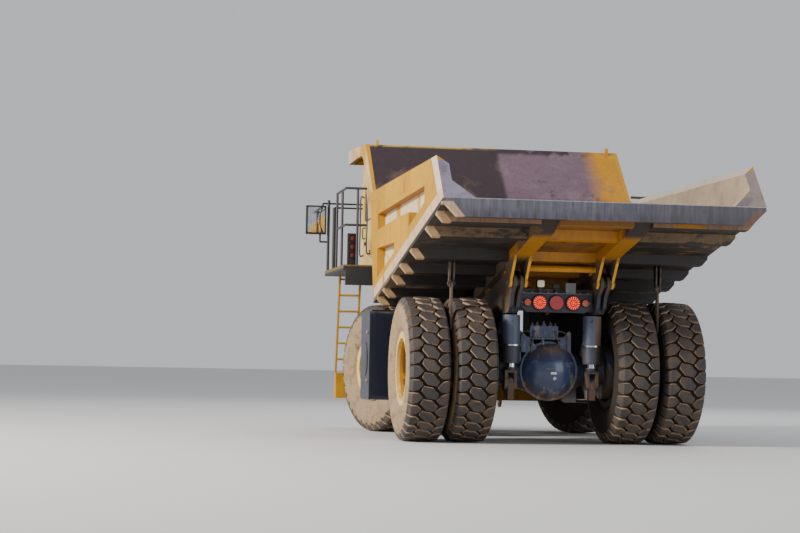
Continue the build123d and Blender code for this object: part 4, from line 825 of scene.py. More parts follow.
class Shell:
    """Gathers quad surfaces and flat faces, then makes one object of them."""

    def __init__(self) -> None:
        """Starts empty."""
        self.points: list[Array] = []
        self.quads: list[Array] = []
        self.flats: list[list[int]] = []
        self.values: dict[str, list[Array]] = {"relief": [], "wall": []}
        self.count = 0

    def grid(
        self, points: Array, rows_join: bool = False, cols_join: bool = True, relief: Any = 1.0, wall: Any = 0.0
    ) -> None:
        """Adds one or many grids of quads.

        Args:
            points: Array of shape (..., rows, cols, 3).
            rows_join: Whether the last row joins the first.
            cols_join: Whether the last column joins the first.
            relief: Value that the tyre's finish reads, one or one for each point.
            wall: Second value of the same kind.
        """
        rows, cols = points.shape[-3:-1]
        flat = points.reshape(-1, 3)
        i = np.arange(rows if rows_join else rows - 1)[:, None]
        j = np.arange(cols if cols_join else cols - 1)[None, :]
        i2, j2 = (i + 1) % rows, (j + 1) % cols
        corners = [i * cols + j, i * cols + j2, i2 * cols + j2, i2 * cols + j]
        quads = np.stack(np.broadcast_arrays(*corners), axis=-1).reshape(-1, 4)
        shift = np.arange(0, len(flat), rows * cols)[:, None, None]
        self.quads.append((quads[None] + shift).reshape(-1, 4) + self.count)
        self.points.append(flat)
        for label, value in (("relief", relief), ("wall", wall)):
            self.values[label].append(np.broadcast_to(value, points.shape[:-1]).reshape(-1))
        self.count += len(flat)

    def turned(self, profile: Sequence[tuple[float, float]], centres: Any, axis: Sequence[float], sides: int) -> None:
        """Adds turned pieces, such as bolts with 6 sides or discs with many.

        Args:
            profile: Points (x along the axis, r from it), closed at r = 0 by the caller.
            centres: One point or many.
            axis: The axis' direction.
            sides: Points round the circle.
        """
        self.grid(lathe(profile, centres, axis, sides))

    def bolts(self, centres: Any, axis: Sequence[float], size: float, height: float | None = None) -> None:
        """Adds hexagon heads on round washers.

        Args:
            centres: Points on the seat.
            axis: The way the heads point.
            size: The head's radius over its corners, in metres.
            height: The head's height, or None for its usual share of the size.
        """
        tall = height or size * 0.75
        self.turned([(-0.002, size * 1.25), (size * 0.16, size * 1.25), (size * 0.16, 0.0)], centres, axis, 14)
        head = [(size * 0.1, size), (tall * 0.85, size), (tall, size * 0.86), (tall, 0.0)]
        self.turned(head, centres, axis, 6)

    def pipe(self, corners: Sequence[Sequence[float]], radius: float, steps: int = 8, sides: int = 10) -> None:
        """Adds a round pipe along a smooth path, closed at both ends.

        Args:
            corners: Points that it passes through.
            radius: Its radius, in metres.
            steps: Samples on each span.
            sides: Points round it.
        """
        path = smooth_path(corners, steps)
        first, last = (np.broadcast_to(end, (1, sides, 3)) for end in path[[0, -1]])
        self.grid(np.concatenate([first, sweep(path, radius, sides), last]))

    def loop(self, centre: Any, across: Any, along: Any, power: float, radius: float) -> None:
        """Adds a tube round a closed rounded rectangle.

        The path is p_i = centre + u(t_i) across + v(t_i) along, and P(i, j) = p_i + r (cos t_j n_i + sin t_j b), with
        b square to the rectangle.

        Args:
            centre: The rectangle's middle.
            across: Half its width as a vector.
            along: Half its height as a vector.
            power: Roundness of its corners.
            radius: The tube's radius.
        """
        u, v = (part[:, None] for part in rounded(around(64, math.pi / 64), power))
        path = np.asarray(centre, float) + u * np.asarray(across, float) + v * np.asarray(along, float)
        ahead = unit(np.roll(path, -1, axis=0) - np.roll(path, 1, axis=0))
        middle = path.mean(axis=0)
        flat = unit(np.cross(path[0] - middle, path[len(path) // 4] - middle))
        out = unit(np.cross(ahead, flat))[:, None]
        self.grid(path[:, None, :] + radius * wheel(around(8), out, flat), rows_join=True)

    def plate(self, outline: Any, depth: Sequence[float], bevel: float) -> None:
        """Adds a flat plate with bevelled rims on both faces.

        Rows are the outline drawn in by the bevel, the outline, the outline moved by depth, and that drawn in.

        Args:
            outline: Corners of one face, of shape (k, 3).
            depth: The vector to the other face.
            bevel: How far the rims are drawn in, in metres.
        """
        near, depth = np.asarray(outline, float), np.asarray(depth, float)
        toward = unit(near.mean(axis=0) - near) * bevel
        step = depth / np.linalg.norm(depth) * bevel
        start, k = self.count, len(near)
        self.grid(np.stack([near + toward, near + step, near + depth - step, near + depth + toward]))
        self.flats.append([start + n for n in range(k)][::-1])
        self.flats.append([start + 3 * k + n for n in range(k)])

    def box(self, low: Triple, high: Triple, bevel: float) -> None:
        """Adds a block between two corners, with bevelled rims."""
        (x0, y0, z0), (x1, y1, z1) = low, high
        self.plate([(x0, y0, z0), (x1, y0, z0), (x1, y1, z0), (x0, y1, z0)], (0, 0, z1 - z0), bevel)

    def build(
        self, name: str, material: Material, slot: str, body: str = "chassis", sharp: float = 32.0
    ) -> bpy.types.Object:
        """Makes the object, and lets it ride on its body.

        Args:
            name: The piece's name.
            material: Its material.
            slot: The record's material slot; not used.
            body: The body that it rides on.
            sharp: Edges that turn more than this stay sharp, in degrees.

        Returns:
            The new object.
        """
        mesh = bpy.data.meshes.new(name)
        mesh.from_pydata(np.vstack(self.points).tolist(), [], np.vstack(self.quads).tolist() + self.flats)
        for label, parts in self.values.items():
            layer = mesh.attributes.new(label, "FLOAT", "POINT")
            layer.data.foreach_set("value", np.concatenate(parts).astype(np.float32))
        mesh.validate()
        work = bmesh.new()
        work.from_mesh(mesh)
        bmesh.ops.remove_doubles(work, verts=work.verts, dist=2e-6)
        work.to_mesh(mesh)
        work.free()
        mesh.polygons.foreach_set("use_smooth", np.ones(len(mesh.polygons), dtype=bool))
        mesh.set_sharp_from_angle(angle=math.radians(sharp))
        mesh.materials.append(material)
        piece = bpy.data.objects.new(name, mesh)
        bpy.context.scene.collection.objects.link(piece)
        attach(piece, body)
        LOG.info("%s: %d faces on %s", name, len(mesh.polygons), body)
        return piece


@dataclass
class Assembly:
    """Base of the sub-assemblies.

    Attributes:
        finish: All finishes by name.
    """

    finish: dict[str, Material]

    def dress(self) -> None:
        """Builds the sub-assembly's pieces."""
        raise NotImplementedError


# ---------------------------------------------------------------- tyres and wheels


@dataclass
class Tyre:
    """One ribbed tyre with three rows of lugs.

    Attributes:
        radius: Outer radius, in metres.
        tread_half: Half the tread's width.
        wall_half: Half the width over the side walls.
        wall_radius: Radius of the side walls' widest place.
        bead_half: Half the width at the rim's flange.
        bead_radius: Radius of the rim's flange.
        groove: Depth of the grooves.
        pitches: Lugs in each row.
        steep: Width of the steep part of a lug's bevel.
        flat: Width of the whole bevel.
    """

    radius: float = 1.06
    tread_half: float = 0.28
    wall_half: float = 0.325
    wall_radius: float = 0.79
    bead_half: float = 0.238
    bead_radius: float = 0.545
    groove: float = 0.045
    pitches: int = 33
    steep: float = 0.004
    flat: float = 0.010

    def __post_init__(self) -> None:
        """Draws the outer half section from the crown's middle to the bead, and its run.

        The crown is r = R - 0.016 * (x / 0.26)^2, and the wall is the arc through its foot, its widest point and
        its shoulder.
        """
        crown_x = np.linspace(0, self.tread_half - 0.02, 12)
        crown = np.stack([crown_x, self.radius - 0.016 * (crown_x / (self.tread_half - 0.02)) ** 2], axis=1)
        a = np.array([self.tread_half, self.radius - 0.05])
        b = np.array([self.wall_half, self.wall_radius])
        c = np.array([self.bead_half, self.bead_radius])
        centre = np.linalg.solve(2 * np.array([b - a, c - a]), np.array([b.dot(b) - a.dot(a), c.dot(c) - a.dot(a)]))
        turn = np.linspace(*(math.atan2(*(p - centre)[::-1]) for p in (a, c)), 22)
        arc = centre + np.linalg.norm(a - centre) * np.stack([np.cos(turn), np.sin(turn)], axis=1)
        self.half = np.vstack([crown, arc])
        self.run = np.concatenate([[0.0], np.cumsum(np.linalg.norm(np.diff(self.half, axis=0), axis=1))])

    def _section(self, s: Array, drop: Array) -> Array:
        """Places points by their run along the section and their depth under it.

        P(s, d) = Q(|s|) - d * n(|s|), mirrored in x for negative s.

        Args:
            s: Signed run from the crown's middle.
            drop: Depth under the outer section.

        Returns:
            Array of (x, r) with s's shape.
        """
        size = np.clip(np.abs(s), 0, self.run[-1])
        tangent = np.gradient(self.half, self.run, axis=0)
        sources = (*self.half.T, -tangent[:, 1], tangent[:, 0])
        x, r, nx, nr = (np.interp(size, self.run, row) for row in sources)
        length = np.hypot(nx, nr)
        return np.stack([np.sign(s) * (x - drop * nx / length), r - drop * nr / length], axis=-1)

    @staticmethod
    def _lug_rows() -> list[tuple[Array, Array, Array]]:
        """Lists the rows of lugs as runs with the lugs' two sides in pitches.

        Returns:
            For each row, the runs s and the low and high sides.
        """
        shoulder_s = np.array([0.108, 0.140, 0.180, 0.235, 0.290, 0.335, 0.400])
        upper = np.array([0.58, 0.36, 0.20, 0.11, 0.09, 0.12, 0.20])
        lower = np.array([0.63, 0.92, 0.985, 0.985, 0.955, 0.90, 0.80])
        centre_s = np.array([-0.127, -0.093, -0.039, 0.0, 0.039, 0.093, 0.127])
        head = np.array([-0.20, -0.53, -0.47, -0.435, -0.40, -0.075, 0.10])
        return [
            (shoulder_s, upper, lower),
            (-shoulder_s[::-1], -lower[::-1], -upper[::-1]),
            (centre_s, head, -head[::-1]),
        ]

    def _carcass(self) -> tuple[Array, Array, Array]:
        """Shapes the carcass under the lugs: grooves under the tread, ribs and a guard on the walls.

        Returns:
            The section's points, their angles and the wall's share.
        """
        end = self.run[-1]
        s = np.concatenate([np.linspace(-end, -0.42, 16), np.linspace(-0.38, 0.38, 25), np.linspace(0.42, end, 16)])
        size = np.abs(s)
        fade = np.clip((0.40 - size) / 0.10, 0, 1)
        beads = 0.004 * (np.abs((size * 26) % 1 - 0.5) < 0.16) * (size > 0.45) * (size < end - 0.05)
        guard = 0.010 * np.exp(-(((size - (end - 0.07)) / 0.02) ** 2))
        drop = self.groove * fade + 0.007 - beads - np.minimum(guard, 0.0065)
        turn = np.broadcast_to(around(132), (len(s), 132))
        section = np.broadcast_to(self._section(s, drop)[:, None, :], (*turn.shape, 2))
        return section, turn, np.clip((size - 0.36) / 0.06, 0, 1)[:, None]

    def _lugs(self, runs: Array, low: Array, high: Array) -> tuple[Array, Array, Array, Array]:
        """Shapes one row of lugs, each with bevelled rims over the carcass.

        Args:
            runs: Runs s along the section.
            low: The lugs' low side at those runs, in pitches.
            high: Their high side.

        Returns:
            The section's points, their angles, the relief and the wall's share.
        """
        steep, flat = self.steep, self.flat
        pitch = 2 * math.pi / self.pitches
        fine = np.unique(np.concatenate([np.linspace(runs[0], runs[-1], 11), runs[1:-1]]))
        fine = fine[np.concatenate([[True], np.diff(fine) > 0.004])]
        rows = np.concatenate([fine[0] + [0, steep, flat], fine[2:-2], fine[-1] - [flat, steep, 0]])
        lo, hi = np.interp(rows, runs, low), np.interp(rows, runs, high)
        half = (hi - lo) / 2
        rims = np.array([0.0, steep, flat]) / (self.radius * pitch)
        share = np.clip(1 - rims[None, :] / np.maximum(half[:, None], rims[2] * 1.05), 0, 1)
        offsets = np.concatenate([-share, -share[:, 2:] * 0.4, share[:, 2:] * 0.4, share[:, ::-1]], axis=1)
        cols = ((lo + hi) / 2)[:, None] + half[:, None] * offsets
        bevel = [0.0, 0.84, 1.0]
        edge_rows = np.array(bevel + [1.0] * (len(rows) - 6) + bevel[::-1])
        tall = np.minimum(np.array(bevel + [1.0, 1.0] + bevel[::-1])[None, :], edge_rows[:, None])
        taper = np.clip((0.405 - np.abs(rows)) / 0.10, 0.12, 1)[:, None]
        sink = (1 - tall) * (self.groove + 0.004) * taper + 0.002 + (1 - taper) * 0.004
        points = self._section(np.broadcast_to(rows[:, None], cols.shape), sink)
        angle = (cols[None] + np.arange(self.pitches)[:, None, None]) * pitch
        wall = np.clip((np.abs(rows) - 0.33) / 0.06, 0, 1)[None, :, None] * 0.7
        return np.broadcast_to(points[None], (*angle.shape, 2)), angle, tall, wall

    def add_to(self, shell: Shell, centre: Sequence[float], axis: Sequence[float]) -> None:
        """Adds the carcass and its lugs to a shell.

        P = centre + x * a + r * (cos t * b + sin t * c), with (x, r) from the section.

        Args:
            shell: The shell.
            centre: The tyre's middle.
            axis: The axle's direction.
        """
        a, b, c = basis(axis)

        def place(section: Array, turn: Array) -> Array:
            """Turns section points (x, r) round the axle by angles of the same shape."""
            return np.asarray(centre, float) + section[..., :1] * a + section[..., 1:] * wheel(turn, b, c)

        section, turn, wall = self._carcass()
        shell.grid(place(section, turn), relief=0.0, wall=wall)
        for row in self._lug_rows():
            section, turn, relief, wall = self._lugs(*row)
            shell.grid(place(section, turn), cols_join=False, relief=relief, wall=wall)


@dataclass
class Wheels(Assembly):
    """Tyres and rim hardware of the whole truck.

    Attributes:
        rear_x: Middle of the twin tyres from the truck's middle.
        rear_y: The rear axle's place along Y.
        spacing: Distance between twin tyres' middles.
        kingpin: Kingpin of the right wheel (x, y).
        reach: The front tyre's middle from the kingpin along the axle.
        steer: The parked steering angle, in degrees.
        axle_z: The axles' height.
        ring_out: The lock rings' place outward from a tyre's middle.
    """

    rear_x: float = 1.54
    rear_y: float = -1.32
    spacing: float = 0.695
    kingpin: tuple[float, float] = (1.2, 2.98)
    reach: float = 0.557
    steer: float = 20.0
    axle_z: float = 1.06
    ring_out: float = 0.254

    def axis(self, side: Side, front: bool) -> Array:
        """Gives a wheel's outward axle direction.

        Args:
            side: The truck's side.
            front: Whether it is a front wheel.

        Returns:
            A unit vector.
        """
        turn = math.radians(self.steer) if front else 0.0
        return side.value * np.array([math.cos(turn), math.sin(turn), 0.0])

    def centre(self, side: Side, front: bool, out: float = 0.0) -> Array:
        """Gives a point on a wheel's axle line.

        Args:
            side: The truck's side.
            front: Whether it is a front wheel.
            out: Distance outward from the middle of the tyre, or of the twin.

        Returns:
            The point.
        """
        x, y, reach = (*self.kingpin, self.reach) if front else (self.rear_x, self.rear_y, 0.0)
        return np.array([side.value * x, y, self.axle_z]) + self.axis(side, front) * (reach + out)

    def dress(self) -> None:
        """Builds each tyre piece in place of its CAD node, then the hub bolts and lock rings."""
        axles = (
            (False, "rear", "rear_wheels", "rear_tyres", (-self.spacing / 2, self.spacing / 2)),
            (True, "front", "front_wheel", "front_tyre", (0.0,)),
        )
        circles = {
            False: ((0.400, 0.26, 16, 0.020), (0.475, 0.16, 10, 0.014), (0.282, 0.405, 20, 0.022)),
            True: ((0.148, 0.385, 18, 0.022), (0.315, 0.165, 10, 0.014)),
        }
        seat = [(-0.02, 0.446), (0.006, 0.446), (0.010, 0.452), (0.010, 0.462), (0.004, 0.470), (-0.02, 0.470)]
        for side, (front, end, body, node, shifts) in product(Side, axles):
            tread = Shell()
            for shift in shifts:
                Tyre().add_to(tread, self.centre(side, front, shift), self.axis(side, front))
            name, ride = f"tread_{end}_{side.label}", f"{body}_{side.label}"
            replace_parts(tread.build(name, self.finish["rubber"], "tyre", ride, 28), f"{node}_{side.label}")
        for side, (front, end, body, _, shifts) in product(Side, axles):
            hub, ring = Shell(), Shell()
            axis, label, ride = self.axis(side, front), f"{end}_{side.label}", f"{body}_{side.label}"
            for out, radius, count, size in circles[front]:
                hub.bolts(circle_points(self.centre(side, front, out), axis, radius, count), axis, size)
            if not front:
                hub.bolts(self.centre(side, front, 0.480), axis, 0.03)
            hub.build(f"hub_bolts_{label}", self.finish["bolt"], "rim", ride)
            ring.turned(seat, self.centre(side, front, shifts[-1] + self.ring_out), axis, 72)
            ring.build(f"lock_ring_{label}", self.finish["rim_gold"], "rim", ride)


# ---------------------------------------------------------------- rear end


@dataclass
class RearEnd(Assembly):
    """Lamps, axle hardware, pipes and struts seen between the rear wheels.

    Attributes:
        bar_face: Rear face of the lamp bar along Y.
        lamp_z: Height of the lamps.
        axle_z: The axle's height.
        cover_radius: Radius of the ball that the axle cover is part of.
        cover_centre: That ball's centre along Y.
        strut_x: The struts' distance from the middle.
        strut_y: Their place along Y.
        eye_z: Height of their lower eyes.
        hinge: The bed's hinge pin (x, y, z) on the right.
        ejector: The ejector's pin (x, y, z) on the right.
    """

    bar_face: float = -2.0103
    lamp_z: float = 2.05
    axle_z: float = 1.06
    cover_radius: float = 0.447
    cover_centre: float = -1.4208
    strut_x: float = 0.61
    strut_y: float = -1.75
    eye_z: float = 0.85
    hinge: Triple = (0.64, -2.27, 2.33)
    ejector: Triple = (1.54, -1.93, 2.30)

    def dress(self) -> None:
        """Builds the rear end's pieces."""
        self._lamps()
        self._axle_cover()
        self._valve()
        self._struts()
        self._pins()

    def _lamps(self) -> None:
        """Adds lamp rims, studs on the bar's lip, the work lamp with its lens, its pipes and box screws."""
        rims, studs, lens = Shell(), Shell(), Shell()
        bezel = [(0, 0.114), (0.024, 0.114), (0.031, 0.110), (0.031, 0.103), (0.026, 0.1005), (0, 0.1005)]
        small = [(0, 0.058), (0.024, 0.058), (0.030, 0.055), (0.030, 0.050), (0, 0.0485)]
        for profile, places, sides in ((bezel, (-0.25, 0.0, 0.25), 44), (small, (-0.43, 0.43), 30)):
            rims.turned(profile, [(x, self.bar_face, self.lamp_z) for x in places], REARWARD, sides)
        rims.turned([(0, 0.02), (0.075, 0.02), (0.08, 0.014), (0.08, 0)], (0.0, -1.97, 2.19), UPRIGHT, 16)
        rims.box((-0.05, -2.005, 2.26), (0.05, -1.955, 2.33), 0.008)
        rims.pipe([(0.02, -1.98, 2.29), (-0.06, -1.99, 2.33), (-0.14, -1.985, 2.335), (-0.19, -1.97, 2.32)], 0.008)
        rims.pipe([(0.04, -1.975, 2.28), (0.09, -1.985, 2.27), (0.13, -1.98, 2.24)], 0.008)
        rims.build("lamp_rims", self.finish["plastic"], "frame_paint")
        studs.bolts(stacked(np.linspace(-0.48, 0.48, 9), -1.992, 2.19), UPRIGHT, 0.015, 0.018)
        studs.bolts([(x, -2.05, z) for x in (0.15, 0.26) for z in (2.21, 2.31)], REARWARD, 0.007)
        studs.bolts([(-0.50, -2.01, 2.05), (0.50, -2.01, 2.05)], REARWARD, 0.012)
        studs.build("lamp_bar_studs", self.finish["pale_steel"], "frame_paint")
        u, v = rounded(around(40), 0.42)
        scale = np.array([1.0, 1.0, 0.9, 0.75, 0.4, 0.0])[:, None]
        out = np.array([0.0, 0.008, 0.016, 0.019, 0.022, 0.023])[:, None]
        lens.grid(stacked(-0.24 + 0.052 * scale * u, -2.0403 - out, 2.3225 + 0.050 * scale * v))
        lens.build("work_lamp_lens", self.finish["cream_lens"], "lamp_clear")

    def _cover(self, x: float, z: float) -> tuple[Triple, Triple]:
        """Gives a point of the axle cover: y = c - root of (r^2 - x^2 - (z - axle)^2).

        Args:
            x: Place along X.
            z: Height.

        Returns:
            The point, and the direction away from the ball's centre.
        """
        up = z - self.axle_z
        out = math.sqrt(self.cover_radius**2 - x**2 - up**2)
        return (x, self.cover_centre - out, z), (x, -out, up)

    def _axle_cover(self) -> None:
        """Adds the axle cover's bolts, plugs and plate."""
        cover, bright = Shell(), Shell()
        cover.bolts(circle_points((0, -1.61, self.axle_z), REARWARD, 0.420, 28), REARWARD, 0.0105)
        ring = [(-0.004, 0.0), (-0.004, 0.058), (0.012, 0.058), (0.014, 0.050), (0.006, 0.046), (0.006, 0.030)]
        plug = [(0.006, 0.030), (0.024, 0.028), (0.028, 0.016), (0.020, 0.012), (0.020, 0.0)]
        cover.turned(ring + plug, *self._cover(-0.01, 0.70), 28)
        cover.build("axle_cover_bolts", self.finish["axle_blue"], "axle_paint")
        dish = [(-0.003, 0.026), (0.008, 0.025), (0.009, 0.018), (0.003, 0.015), (0.003, 0.0)]
        bright.turned(dish, *self._cover(0.03, 0.955), 24)
        x, y, z = self._cover(0.012, 1.03)[0]
        bright.box((x - 0.044, y - 0.011, z - 0.017), (x + 0.044, y + 0.012, z + 0.017), 0.004)
        bright.build("axle_cover_plugs", self.finish["white_steel"], "axle_paint")

    def _valve(self) -> None:
        """Adds the valve block's fittings, rigid pipes along the axle, and the pipe bracket."""
        valve, pipes, bracket = Shell(), Shell(), Shell()
        for x, size in ((-0.26, 0.022), (-0.19, 0.027), (-0.09, 0.032), (0.01, 0.027), (0.08, 0.022)):
            valve.bolts([(x, -1.63, 1.72)], UPRIGHT, size, size * 1.1)
            spigot = [(0, size * 0.5), (size * 2.2, size * 0.45), (size * 2.3, 0)]
            valve.turned(spigot, (x, -1.63, 1.72), UPRIGHT, 12)
        valve.bolts([(-0.24, -1.67, 1.64), (-0.09, -1.67, 1.63), (0.06, -1.67, 1.64)], REARWARD, 0.024)
        valve.bolts([(-0.165, -1.67, 1.58), (-0.015, -1.67, 1.58)], REARWARD, 0.014)
        valve.bolts([(-0.30, -1.63, 1.64)], (-1, 0, 0), 0.022)
        valve.bolts([(0.12, -1.63, 1.64)], (1, 0, 0), 0.022)
        valve.build("valve_fittings", self.finish["strut_blue"], "axle_paint")
        long_y = (-1.63, -1.635, -1.67, -1.675, -1.675, -1.62, -1.55)
        short_y = (-1.685, -1.71, -1.70, -1.675, -1.665)
        for x, y, z in (
            ((-0.30, -0.36, -0.42, -0.44, -0.43, -0.47, -0.52), long_y, (1.64, 1.64, 1.60, 1.50, 1.36, 1.30, 1.26)),
            ((0.12, 0.18, 0.24, 0.27, 0.27, 0.33, 0.42), long_y, (1.64, 1.64, 1.60, 1.52, 1.36, 1.30, 1.27)),
            ((-0.24, -0.25, -0.26, -0.28, -0.28), short_y, (1.64, 1.62, 1.52, 1.44, 1.34)),
            ((0.06, 0.08, 0.11, 0.15, 0.16), short_y, (1.64, 1.62, 1.52, 1.42, 1.34)),
        ):
            pipes.pipe(stacked(x, y, z), 0.009)
        pipes.build("axle_brake_pipes", self.finish["dusty_steel"], "axle_paint")
        leaf = [(x, -1.815, z) for x, z in ((0.52, 0.66), (0.53, 0.66), (0.53, 0.79), (0.52, 0.79))]
        bracket.plate(leaf, (0, 0.12, 0), 0.001)
        bracket.box((0.40, -1.815, 0.648), (0.53, -1.70, 0.660), 0.002)
        bracket.build("axle_line_bracket", self.finish["pale_steel"], "axle_paint")

    def _struts(self) -> None:
        """Adds bright rings, wipers, charging valves and eye caps to the struts."""
        rings, caps = Shell(), Shell()
        ring = [(-0.011, 0.148), (-0.011, 0.1515), (0.011, 0.1515), (0.011, 0.148)]
        wiper = [(-0.01, 0.081), (-0.01, 0.125), (0.006, 0.128), (0.006, 0.1345)]
        valve = [(0, 0.016), (0.02, 0.016), (0.022, 0.011), (0.05, 0.011), (0.052, 0)]
        pin = [(0, 0.036), (0.006, 0.036), (0.009, 0.030), (0.009, 0)]
        for side in Side:
            x, y = side.value * self.strut_x, self.strut_y
            rings.turned(ring, (x, y, 1.43), UPRIGHT, 56)
            caps.bolts(circle_points((x, y, 1.445), UPRIGHT, 0.142, 14, 0.2), UPRIGHT, 0.006)
            caps.turned(wiper, (x, y, 1.176), UPRIGHT, 48)
            caps.turned(valve, (x - 0.03, y - 0.128, 1.79), REARWARD, 14)
            for way in (-1, 1):
                caps.turned(pin, (x + way * 0.0905, y, self.eye_z), (way, 0, 0), 24)
        rings.build("strut_rings", self.finish["bright_ring"], "chrome")
        caps.build("strut_caps", self.finish["strut_blue"], "axle_paint")

    def _pins(self) -> None:
        """Adds keeper plates and bolts on the bed's hinge pins, and washers on the ejectors' pins."""
        pins, clips = Shell(), Shell()
        keeper = [(-0.001, 0.052), (0.010, 0.052), (0.013, 0.046), (0.013, 0)]
        washer = [(0, 0.03), (0.006, 0.03), (0.008, 0.016), (0.016, 0.012), (0.016, 0)]
        for side in Side:
            for way in (-1, 1):
                x, y, z = self.hinge
                x, axis = side.value * x + way * 0.145, (way, 0, 0)
                pins.turned(keeper, (x, y, z), axis, 28)
                pins.bolts(circle_points((x + way * 0.013, y, z), axis, 0.030, 3), axis, 0.009)
                x, y, z = self.ejector
                clips.turned(washer, (side.value * x + way * 0.046, y, z), axis, 20)
        pins.build("hinge_pin_caps", self.finish["dusty_steel"], "frame_paint")
        clips.build("ejector_pin_washers", self.finish["dusty_steel"], "frame_paint", "bed")


# ---------------------------------------------------------------- bed, cab and decks


@dataclass
class BedTrim(Assembly):
    """Weld beads on the bed's sides.

    Attributes:
        face_x: The sides' outer face from the middle.
        bead: The beads' radius.
    """

    face_x: float = 2.195
    bead: float = 0.0045

    def dress(self) -> None:
        """Adds the weld beads of the side plates and round the rail's box ends."""
        beads = Shell()
        lines = (
            ((-4.36, 3.235), (-3.775, 3.86)),
            ((-3.85, 3.146), (-3.78, 3.28)),
            ((-3.35, 3.05), (-3.25, 3.32)),
            ((-2.55, 2.895), (-2.45, 3.16)),
            ((-2.02, 2.79), (-2.02, 3.08)),
            ((-1.35, 2.66), (-1.35, 3.29)),
            ((-0.77, 2.55), (-0.77, 2.79)),
            ((0.15, 2.37), (0.15, 2.60)),
        )
        for side in Side:
            for (y0, z0), (y1, z1) in lines:
                y, z = (y0, (y0 + y1) / 2, y1), (z0, (z0 + z1) / 2, z1)
                beads.pipe(stacked(side.value * self.face_x, y, z), self.bead, 3, 8)
        beads.build("side_weld_beads", self.finish["weld"], "bed_paint", "bed")


